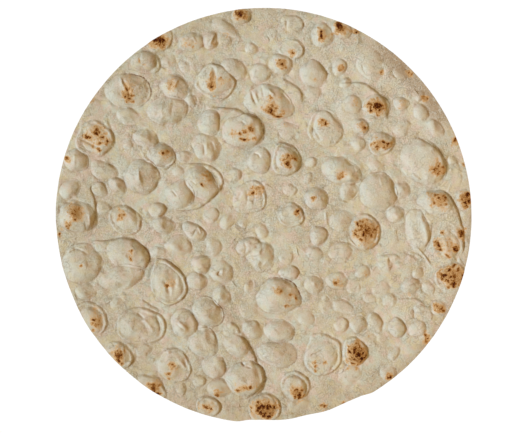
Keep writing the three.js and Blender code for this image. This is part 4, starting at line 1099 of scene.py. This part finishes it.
def discFaces(rings):
    faces = []
    for ring in range(rings):
        inner = 1 + 3 * ring * (ring - 1) if ring else 0
        outer = 1 + 3 * ring * (ring + 1)
        innerCount = max(6 * ring, 1)
        outerCount = 6 * (ring + 1)
        sector = np.arange(6)[:, None]
        j = np.arange(ring + 1)[None]
        a = outer + (sector * (ring + 1) + j) % outerCount
        b = outer + (sector * (ring + 1) + j + 1) % outerCount
        c = inner + (sector * ring + j) % innerCount
        faces.append(np.stack([c, a, b], -1).reshape(-1, 3))
        if ring:
            j = np.arange(ring)[None]
            a = inner + (sector * ring + j) % innerCount
            b = outer + (sector * (ring + 1) + j + 1) % outerCount
            c = inner + (sector * ring + j + 1) % innerCount
            faces.append(np.stack([a, b, c], -1).reshape(-1, 3))
    return np.concatenate(faces)


def band(upper, lower):  # triangles between two rings of points, which may have different counts
    faces = []
    i = j = 0
    while i < len(upper) or j < len(lower):
        if (i + 1) * len(lower) <= (j + 1) * len(upper):
            faces.append((upper[i % len(upper)], lower[j % len(lower)], upper[(i + 1) % len(upper)]))
            i += 1
        else:
            faces.append((upper[i % len(upper)], lower[j % len(lower)], lower[(j + 1) % len(lower)]))
            j += 1
    return np.array(faces)


def breadMesh():
    bearing, share = discPlaces(meshSizes["topRings"])
    reach = outlineAt(bearing) - meshSizes["edgeRound"]
    x = share * reach * np.cos(np.radians(bearing))
    y = share * reach * np.sin(np.radians(bearing))
    top = settle(x, y, readGrid(upperFace, x, y))
    places = [np.stack([x, y, top], 1)]
    faces = [discFaces(meshSizes["topRings"])]
    last = np.arange(len(x) - 6 * meshSizes["topRings"], len(x))
    edgeBearing = bearing[last]
    edgeTop = readGrid(upperFace, x[last], y[last])
    count = len(x)
    for shareUp, inset in meshSizes["wall"]:
        reach = outlineAt(edgeBearing) - inset
        wallX = reach * np.cos(np.radians(edgeBearing))
        wallY = reach * np.sin(np.radians(edgeBearing))
        places.append(np.stack([wallX, wallY, settle(wallX, wallY, edgeTop * shareUp)], 1))
        ring = np.arange(count, count + len(last))
        faces.append(band(last, ring))
        last = ring
        count += len(ring)
    bearing, share = discPlaces(meshSizes["bottomRings"])
    reach = outlineAt(bearing) - meshSizes["wall"][-1][1] - meshSizes["lowerEdge"]
    x = share * reach * np.cos(np.radians(bearing))
    y = share * reach * np.sin(np.radians(bearing))
    places.append(np.stack([x, y, settle(x, y, np.zeros_like(x))], 1))
    faces.append(discFaces(meshSizes["bottomRings"])[:, ::-1] + count)
    lowest = np.arange(count + len(x) - 6 * meshSizes["bottomRings"], count + len(x))
    faces.append(band(last, lowest))
    mesh = bpy.data.meshes.new("flatbreadSkin")
    mesh.from_pydata(np.concatenate(places) * mm, [], np.concatenate(faces))
    return mesh


skinMesh = breadMesh()
blisteredBread = bpy.data.objects.new("blisteredBread", skinMesh)
bpy.context.scene.collection.objects.link(blisteredBread)
print("mesh made, triangles:", len(skinMesh.polygons))

# Small pimples on the flat skin, by Geometry Nodes
scatters = {  # in mm, spacing being the least between two
    "smallPimples": {"Spacing": 3.2, "Width": 1.7, "Height": 0.14, "Seed": 5},
    "softBumps": {"Spacing": 5.5, "Width": 3.2, "Height": 0.65, "Seed": 8},
}
pimples = {
    "mostPerSquareMetre": 200000,
    "smallest": 0.45,  # times the width and height above
    "largest": 1.25,
    "flatSkin": (0.02, 0.3),  # how puffed the skin may be
}
faceShares = {  # of the thickness, at which each face starts to count and counts in full
    "pimpled": (0.9, 0.99),
    "upper": (0.8, 0.95),
    "under": (0.02, 0.1),
}


def storeField(mesh, name, values):
    attribute = mesh.attributes.new(name, "FLOAT", "POINT")
    attribute.data.foreach_set("value", np.asarray(values, np.float32))


def meshPoints(mesh):
    flat = np.zeros(len(mesh.vertices) * 3, np.float32)
    mesh.vertices.foreach_get("co", flat)
    return flat.reshape(-1, 3) / mm


def upperShare(points):  # 1 on the upper face, 0 on the underside, between the two on the cut rim
    top = settle(points[:, 0], points[:, 1], readGrid(upperFace, points[:, 0], points[:, 1]))
    bottom = settle(points[:, 0], points[:, 1], np.zeros(len(points)))
    return (points[:, 2] - bottom) / (top - bottom)


def pimpleTree(skinMaterial):
    tree = bpy.data.node_groups.new("smallPimples", "GeometryNodeTree")
    face = tree.interface
    face.new_socket("Bread", in_out="INPUT", socket_type="NodeSocketGeometry")
    for name in ("Spacing", "Width", "Height"):
        face.new_socket(name, in_out="INPUT", socket_type="NodeSocketFloat")
    face.new_socket("Seed", in_out="INPUT", socket_type="NodeSocketInt")
    face.new_socket("Skin", in_out="INPUT", socket_type="NodeSocketMaterial")
    face.new_socket("Bread", in_out="OUTPUT", socket_type="NodeSocketGeometry")
    nodes = tree.nodes
    link = tree.links.new
    start = nodes.new("NodeGroupInput")
    end = nodes.new("NodeGroupOutput")
    flatSkin = nodes.new("GeometryNodeInputNamedAttribute")
    flatSkin.data_type = "FLOAT"
    flatSkin.inputs["Name"].default_value = "flatSkin"
    scatter = nodes.new("GeometryNodeDistributePointsOnFaces")
    scatter.distribute_method = "POISSON"
    scatter.inputs["Density Max"].default_value = pimples["mostPerSquareMetre"]
    link(start.outputs["Bread"], scatter.inputs["Mesh"])
    link(start.outputs["Spacing"], scatter.inputs["Distance Min"])
    link(start.outputs["Seed"], scatter.inputs["Seed"])
    link(flatSkin.outputs["Attribute"], scatter.inputs["Density Factor"])
    nearest = nodes.new("GeometryNodeSampleNearest")
    nearest.domain = "POINT"
    link(scatter.outputs["Points"], nearest.inputs["Geometry"])
    position = nodes.new("GeometryNodeInputPosition")
    middle = nodes.new("GeometryNodeSampleIndex")
    middle.data_type = "FLOAT_VECTOR"
    link(scatter.outputs["Points"], middle.inputs["Geometry"])
    link(position.outputs["Position"], middle.inputs["Value"])
    link(nearest.outputs["Index"], middle.inputs["Index"])
    draw = nodes.new("FunctionNodeRandomValue")
    draw.data_type = "FLOAT"
    draw.inputs[2].default_value = pimples["smallest"]
    draw.inputs[3].default_value = pimples["largest"]
    link(nearest.outputs["Index"], draw.inputs["ID"])
    link(start.outputs["Seed"], draw.inputs["Seed"])
    away = nodes.new("ShaderNodeVectorMath")
    away.operation = "DISTANCE"
    link(position.outputs["Position"], away.inputs[0])
    link(middle.outputs["Value"], away.inputs[1])

    def product(first, second):
        node = nodes.new("ShaderNodeMath")
        node.operation = "MULTIPLY"
        link(first, node.inputs[0])
        link(second, node.inputs[1])
        return node.outputs[0]

    tall = product(product(start.outputs["Height"], draw.outputs[1]), flatSkin.outputs["Attribute"])
    profile = nodes.new("ShaderNodeMapRange")
    profile.interpolation_type = "SMOOTHSTEP"
    link(away.outputs["Value"], profile.inputs["Value"])
    link(product(start.outputs["Width"], draw.outputs[1]), profile.inputs["From Max"])
    link(tall, profile.inputs["To Min"])
    profile.inputs["To Max"].default_value = 0
    up = nodes.new("ShaderNodeCombineXYZ")
    link(profile.outputs["Result"], up.inputs["Z"])
    move = nodes.new("GeometryNodeSetPosition")
    link(start.outputs["Bread"], move.inputs["Geometry"])
    link(up.outputs["Vector"], move.inputs["Offset"])
    realize = nodes.new("GeometryNodeRealizeInstances")
    link(move.outputs["Geometry"], realize.inputs["Geometry"])
    coated = nodes.new("GeometryNodeSetMaterial")
    link(realize.outputs["Geometry"], coated.inputs["Geometry"])
    link(start.outputs["Skin"], coated.inputs["Material"])
    link(coated.outputs["Geometry"], end.inputs["Bread"])
    return tree


skinMaterial = bpy.data.materials.new("bakedSkin")
points = meshPoints(skinMesh)
x = points[:, 0]
y = points[:, 1]
onTop = smooth(upperShare(points), *faceShares["pimpled"])
storeField(skinMesh, "flatSkin", onTop * (1 - smooth(readGrid(puff, x, y), *pimples["flatSkin"])))
detail = readGrid(brownField + charField + lineSeen + meshSizes["edgeLightShadeDetail"] * np.abs(edgeLightShade), x, y)
keepShare, detailFrom, detailFull = meshSizes["keepDetail"]
detailed = keepShare * smooth(detail, detailFrom, detailFull) * onTop
fromEdge = outlineAt(np.degrees(np.arctan2(y, x)) % 360) - np.hypot(x, y)
keepShare, rimFrom, rimFull = meshSizes["keepRim"]
thinning = 1 - np.maximum(detailed, keepShare * (1 - smooth(fromEdge, rimFrom, rimFull)))
thinGroup = blisteredBread.vertex_groups.new(name="thinning")
for level in np.unique(np.round(thinning, 1)):
    chosen = np.flatnonzero(np.round(thinning, 1) == level)
    thinGroup.add(chosen.tolist(), float(level), "REPLACE")
tree = pimpleTree(skinMaterial)
sockets = {item.name: item.identifier for item in tree.interface.items_tree if item.in_out == "INPUT"}
for scatterName, sizes in scatters.items():
    modifier = blisteredBread.modifiers.new(scatterName, "NODES")
    modifier.node_group = tree
    for name in ("Spacing", "Width", "Height"):
        modifier[sockets[name]] = sizes[name] * mm
    modifier[sockets["Seed"]] = sizes["Seed"]
    modifier[sockets["Skin"]] = skinMaterial
thin = blisteredBread.modifiers.new("fewerTriangles", "DECIMATE")
thin.ratio = meshSizes["triangles"] / len(skinMesh.polygons)
thin.vertex_group = thinGroup.name
thin.vertex_group_factor = meshSizes["keepFactor"]
depsgraph = bpy.context.evaluated_depsgraph_get()
finished = bpy.data.meshes.new_from_object(blisteredBread.evaluated_get(depsgraph))
blisteredBread.modifiers.clear()
blisteredBread.vertex_groups.clear()
blisteredBread.data = finished
bpy.data.meshes.remove(skinMesh)
finished.name = "blisteredBread"
finished.attributes.remove(finished.attributes["flatSkin"])
for polygon in finished.polygons:
    polygon.use_smooth = True
finished.set_sharp_from_angle(angle=math.radians(meshSizes["sharpFrom"]))
print("pimples added, triangles:", len(finished.polygons))

# The toasting, and the painted light and shade, as attributes of the finished mesh
# Painted shade in hollows, and painted light on crests
cavityShade = smooth(blurred(upperFace, shades["cavityReach"]) - upperFace, *shades["cavityShade"])
crestLight = smooth(upperFace - blurred(upperFace, shades["crestReach"]), *shades["crestLight"])
points = meshPoints(finished)
x = points[:, 0]
y = points[:, 1]
share = upperShare(points)
onTop = smooth(share, *faceShares["upper"])
for name, field in [("golden", goldenField), ("brown", brownField), ("char", charField), ("puff", puff),
                    ("cavityShade", cavityShade), ("crestLight", crestLight), ("rimShade", rimShadeField), ("pale", paleField),
                    ("flankShade", flankShade), ("flankLight", flankLight), ("edgeLightShade", edgeLightShade),
                    ("lineShare", lineShare * (1 - smooth(np.abs(lineGap), *lines["shown"])))]:
    storeField(finished, name, readGrid(field, x, y) * onTop)
storeField(finished, "lineGap", readGrid(lineGap, x, y))
underside = 1 - smooth(share, *faceShares["under"])
storeField(finished, "underside", underside)
storeField(finished, "crumb", (1 - onTop) * (1 - underside))
print("toasting stored")

# The skin's finish
skinColours = {  # as seen, from 0 to 255
    "flat": (208, 196, 170),
    "flatDark": (196, 180, 149),
    # used for painted highlights on lit edges and beside the painted shade lines, and for the paler side
    # and pale threads
    "palest": (223, 218, 200),
    # painted light on flanks facing the light
    "cool": (213, 216, 201),
    # painted shade on flanks facing away from the light, and past their feet
    "warm": (200, 157, 116),
    # painted shade in thin creases
    "creaseShade": (178, 152, 120),
    "baked": (176, 154, 118),
    # the paler skin of the blisters, also painted light on crests
    "puffed": (204, 194, 171),
    # painted shade in hollows
    "hollowShade": (164, 122, 80),
    # painted shade behind sharp edges
    "seamShade": (160, 116, 74),
    "fleck": (219, 208, 186),
    "mote": (178, 159, 130),
    "pinkish": (215, 187, 166),
    "coolish": (198, 200, 178),
    "straw": (210, 194, 150),
    # painted shade along the feet of blisters, ledges, rings and folds
    "line": (122, 82, 46),
    # painted shade on the rim
    "rim": (163, 132, 97),
    "crumb": (214, 198, 168),
    "bran": (150, 124, 92),
    "underGolden": (206, 160, 100),
    "underBrown": (178, 122, 64),
}
toast = [  # how far toasted, and its colour as seen, from pale gold through brown to charred
    (0.1, (212, 176, 132)), (0.25, (199, 158, 108)), (0.4, (180, 134, 81)), (0.55, (157, 106, 51)),
    (0.7, (126, 73, 18)), (0.82, (98, 46, 2)), (0.95, (70, 25, 1)),
]
litLevel = 1.2  # how bright a white surface is in this light
finish = {
    "roughness": 0.82,
    "specular": 0.1,
    "bump": 0.7,
    "bumpHeight": 0.5,  # mm
}

# Coats of colour, one over another: the colour, the most of it, the attribute or the patches that place it,
# and where: on all of the skin, less where it puffed (plain), or less there and in patches (sandy).
# Patches are (size in mm, detail, seed, from, full at) of a noise
coats = [
    ("puffed", 0.75, "puff", "all"),
    # painted light on crests
    ("puffed", 0.3, "crestLight", "all"),
    # painted shade on flanks facing away from the light, and painted light on those facing it
    ("warm", 0.46, "flankShade", "all"),
    ("cool", 0.3, "flankLight", "all"),
    ("pinkish", 0.85, (7, 2, 10, 0.42, 0.62), "plain"),
    ("coolish", 0.85, (6, 2, 11, 0.45, 0.62), "plain"),
    ("straw", 0.8, (6, 3, 12, 0.48, 0.64), "plain"),
    ("mote", 0.15, (1.6, 2, 2, 0.5, 0.72), "sandy"),
    # painted shade in hollows
    ("hollowShade", 0.22, "cavityShade", "all"),
    # painted shade on the rim's stretches away from the light
    ("rim", 1, "rimShade", "all"),
    ("bran", 0.55, (0.8, 2, 3, 0.66, 0.72), "all"),
    ("fleck", 0.46, (0.7, 1, 14, 0.46, 0.6), "sandy"),
    ("mote", 0.44, (0.7, 1, 15, 0.46, 0.6), "sandy"),
]
base = {
    "patches": (9, 3, 1, 0.38, 0.62),
    "puffLess": 0.4,
    "sandy": (26, 1, 20, 0.38, 0.6),
    "sandyLeast": 0.55,
    "sandyMore": 0.8,
}
threads = {  # thin wandering lines, along the middle of a noise and in patches
    "squiggle": {
        "path": (4.5, 2, 16),
        "width": (0.02, 0.005),
        "patches": (10, 2, 17, 0.42, 0.54),
        "share": 0.55,
    },
    # painted shade in thin creases, which the bump also presses in
    "crease": {
        "path": (5, 2, 18),
        "width": (0.016, 0.004),
        "patches": (9, 2, 19, 0.46, 0.56),
        "share": 0.4,
    },
}
# painted highlight on the lit side of sharp edges, and painted shade behind them
edgeLightShadeShares = {"palest": 1.3, "seamShade": -0.7}
# the painted shade along the feet of blisters, ledges, rings and folds, and a painted highlight beside it
shadeLineAndHighlight = {
    "patches": (2.5, 2, 13, 0.3, 0.6),
    "halfWidth": 0.38,  # mm
    "share": 0.8,
    "depth": 0.5,
    "paleGap": 1.2,  # mm to the raised side, where a painted highlight runs beside the line
    "paleHalfWidth": 0.5,
    "pale": (0.55, 0.5),  # the painted highlight's share, and how much less on a flank in painted shade
}
toasting = {  # how far each of the fields toasts the skin, and the dots that add to it
    "golden": (0.2, 0.26),  # everywhere, and in the dots
    "brown": (0.28, 0.32),
    "char": 0.47,
    "dots": (2, 1, 4, 0.5, 0.68),
    "fine": (0.8, 2, 5),
    "fineMost": 0.6,
    "fineTimes": 2.4,
    "from": (0.03, 0.22),
}
undersideCoats = [("underGolden", 0.8, (14, 4, 6, 0.5, 0.68)), ("underBrown", 0.7, (5, 4, 7, 0.6, 0.72))]
grain = {"coarse": (1.5, 3, 9), "coarseShare": 0.45, "fine": (0.7, 1, 8), "fineShare": 1.3}


def asAlbedo(colour):
    linear = [((c / 255 + 0.055) / 1.055) ** 2.4 / litLevel for c in colour]
    return (*linear, 1)


def finishSkin(material):
    material.use_nodes = True
    tree = material.node_tree
    nodes = tree.nodes
    link = tree.links.new
    shader = nodes["Principled BSDF"]
    shader.inputs["Roughness"].default_value = finish["roughness"]
    shader.inputs["Specular IOR Level"].default_value = finish["specular"]
    place = nodes.new("ShaderNodeTexCoord").outputs["Object"]

    def attribute(name):
        node = nodes.new("ShaderNodeAttribute")
        node.attribute_name = name
        return node.outputs["Fac"]

    def speckle(size, detail, seed):  # noise with features of size mm
        node = nodes.new("ShaderNodeTexNoise")
        node.noise_dimensions = "4D"
        node.inputs["W"].default_value = seed
        node.inputs["Scale"].default_value = 1 / (size * mm)
        node.inputs["Detail"].default_value = detail
        link(place, node.inputs["Vector"])
        return node.outputs["Fac"]

    def calculate(operation, first, second, clamp=False):
        node = nodes.new("ShaderNodeMath")
        node.operation = operation
        node.use_clamp = clamp
        for socket, value in zip(node.inputs, (first, second)):
            if isinstance(value, (int, float)):
                socket.default_value = value
            else:
                link(value, socket)
        return node.outputs[0]

    def plus(first, second):
        return calculate("ADD", first, second)

    def minus(first, second):
        return calculate("SUBTRACT", first, second)

    def times(first, second):
        return calculate("MULTIPLY", first, second)

    def between(value, low, high, top=1.0):
        node = nodes.new("ShaderNodeMapRange")
        node.interpolation_type = "SMOOTHSTEP"
        node.inputs["From Min"].default_value = low
        node.inputs["From Max"].default_value = high
        node.inputs["To Max"].default_value = top
        link(value, node.inputs["Value"])
        return node.outputs["Result"]

    def patches(size, detail, seed, low, high, top=1.0):
        return between(speckle(size, detail, seed), low, high, top)

    def blend(amount, first, second):
        node = nodes.new("ShaderNodeMix")
        node.data_type = "RGBA"
        link(amount, node.inputs[0])
        for socket, value in ((node.inputs[6], first), (node.inputs[7], second)):
            if isinstance(value, str):
                socket.default_value = asAlbedo(skinColours[value])
            else:
                link(value, socket)
        return node.outputs[2]

    upperOnly = minus(1, attribute("underside"))

    def thread(sizes):
        away = calculate("ABSOLUTE", minus(speckle(*sizes["path"]), 0.5), 0)
        shown = times(between(away, *sizes["width"]), patches(*sizes["patches"]))
        return times(shown, upperOnly)

    plainness = minus(1, times(attribute("puff"), base["puffLess"]))
    sandiness = times(plainness, plus(base["sandyLeast"], patches(*base["sandy"], base["sandyMore"])))
    colour = blend(patches(*base["patches"]), "flatDark", "flat")
    for name, share, where, skinKind in coats:
        if isinstance(where, str):
            amount = times(attribute(where), share)
        else:
            amount = patches(*where, share)
        if skinKind == "plain":
            amount = times(amount, plainness)
        elif skinKind == "sandy":
            amount = times(amount, sandiness)
        colour = blend(amount, colour, name)
    squiggle = thread(threads["squiggle"])
    colour = blend(times(squiggle, threads["squiggle"]["share"]), colour, "palest")
    # painted shade in the creases
    crease = thread(threads["crease"])
    colour = blend(times(crease, threads["crease"]["share"]), colour, "creaseShade")
    # painted highlight on lit edges, and painted shade behind them
    for name, share in edgeLightShadeShares.items():
        colour = blend(calculate("MULTIPLY", attribute("edgeLightShade"), share, clamp=True), colour, name)

    uneven = times(patches(*shadeLineAndHighlight["patches"]), attribute("lineShare"))

    def stripe(gapFrom, halfWidth):  # along the brown lines of painted shade, that many mm to their raised side
        gap = calculate("DIVIDE", minus(attribute("lineGap"), gapFrom), halfWidth)
        return times(calculate("POWER", math.e, times(times(gap, gap), -1)), uneven)

    # the painted shade line along the feet
    line = stripe(0.0, shadeLineAndHighlight["halfWidth"])
    paleShare, paleLess = shadeLineAndHighlight["pale"]
    paleShown = minus(paleShare, times(attribute("flankShade"), paleLess))
    # a painted highlight beside the line, on its raised side
    highlightStripe = times(stripe(shadeLineAndHighlight["paleGap"], shadeLineAndHighlight["paleHalfWidth"]), paleShown)
    colour = blend(highlightStripe, colour, "palest")
    paler = minus(attribute("pale"), 0.5)
    for name, sign in (("palest", 2), ("baked", -2)):
        colour = blend(calculate("MAXIMUM", times(paler, sign * drift["strength"]), 0), colour, name)
    colour = blend(times(line, shadeLineAndHighlight["share"]), colour, "line")

    pale = attribute("golden")
    deep = attribute("brown")
    level = plus(times(pale, toasting["golden"][0]), times(deep, toasting["brown"][0]))
    dotted = plus(times(pale, toasting["golden"][1]), times(deep, toasting["brown"][1]))
    level = plus(level, times(patches(*toasting["dots"]), dotted))
    level = plus(level, times(attribute("char"), toasting["char"]))
    fine = minus(speckle(*toasting["fine"]), 0.5)
    fine = times(fine, calculate("MINIMUM", level, toasting["fineMost"]))
    level = plus(level, times(fine, toasting["fineTimes"]))
    ramp = nodes.new("ShaderNodeValToRGB")
    stops = ramp.color_ramp.elements
    stops.remove(stops[1])
    stops[0].position = toast[0][0]
    stops[0].color = asAlbedo(toast[0][1])
    for position, seen in toast[1:]:
        stops.new(position).color = asAlbedo(seen)
    link(level, ramp.inputs["Fac"])
    colour = blend(between(level, *toasting["from"]), colour, ramp.outputs["Color"])

    under = "flat"
    for name, share, where in undersideCoats:
        under = blend(patches(*where, share), under, name)
    colour = blend(attribute("crumb"), colour, "crumb")
    colour = blend(attribute("underside"), colour, under)
    link(colour, shader.inputs["Base Color"])

    height = times(speckle(*grain["fine"]), grain["fineShare"])
    height = plus(height, times(speckle(*grain["coarse"]), grain["coarseShare"]))
    height = times(plus(height, squiggle), sandiness)
    height = minus(minus(height, crease), times(line, shadeLineAndHighlight["depth"]))
    bumps = nodes.new("ShaderNodeBump")
    bumps.inputs["Strength"].default_value = finish["bump"]
    bumps.inputs["Distance"].default_value = finish["bumpHeight"] * mm
    link(height, bumps.inputs["Height"])
    link(bumps.outputs["Normal"], shader.inputs["Normal"])


finishSkin(skinMaterial)
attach(blisteredBread, "root")
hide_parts("flatbread")
print("skin finished")

# The floor: plain and white
floor = {"halfWidth": 3.0, "glow": 1.03, "drop": 0.05}  # metres, and mm below the bread
floorMesh = bpy.data.meshes.new("floor")
half = floor["halfWidth"]
z = -floor["drop"] * mm
corners = [(-half, -half, z), (half, -half, z), (half, half, z), (-half, half, z)]
floorMesh.from_pydata(corners, [], [(0, 1, 2, 3)])
floorObject = bpy.data.objects.new("floor", floorMesh)
bpy.context.scene.collection.objects.link(floorObject)
floorMaterial = bpy.data.materials.new("whiteFloor")
floorMaterial.use_nodes = True
floorShader = floorMaterial.node_tree.nodes["Principled BSDF"]
floorShader.inputs["Base Color"].default_value = (0, 0, 0, 1)
floorShader.inputs["Specular IOR Level"].default_value = 0
floorShader.inputs["Emission Color"].default_value = white
floorShader.inputs["Emission Strength"].default_value = floor["glow"]
floorMesh.materials.append(floorMaterial)
print("floor laid")
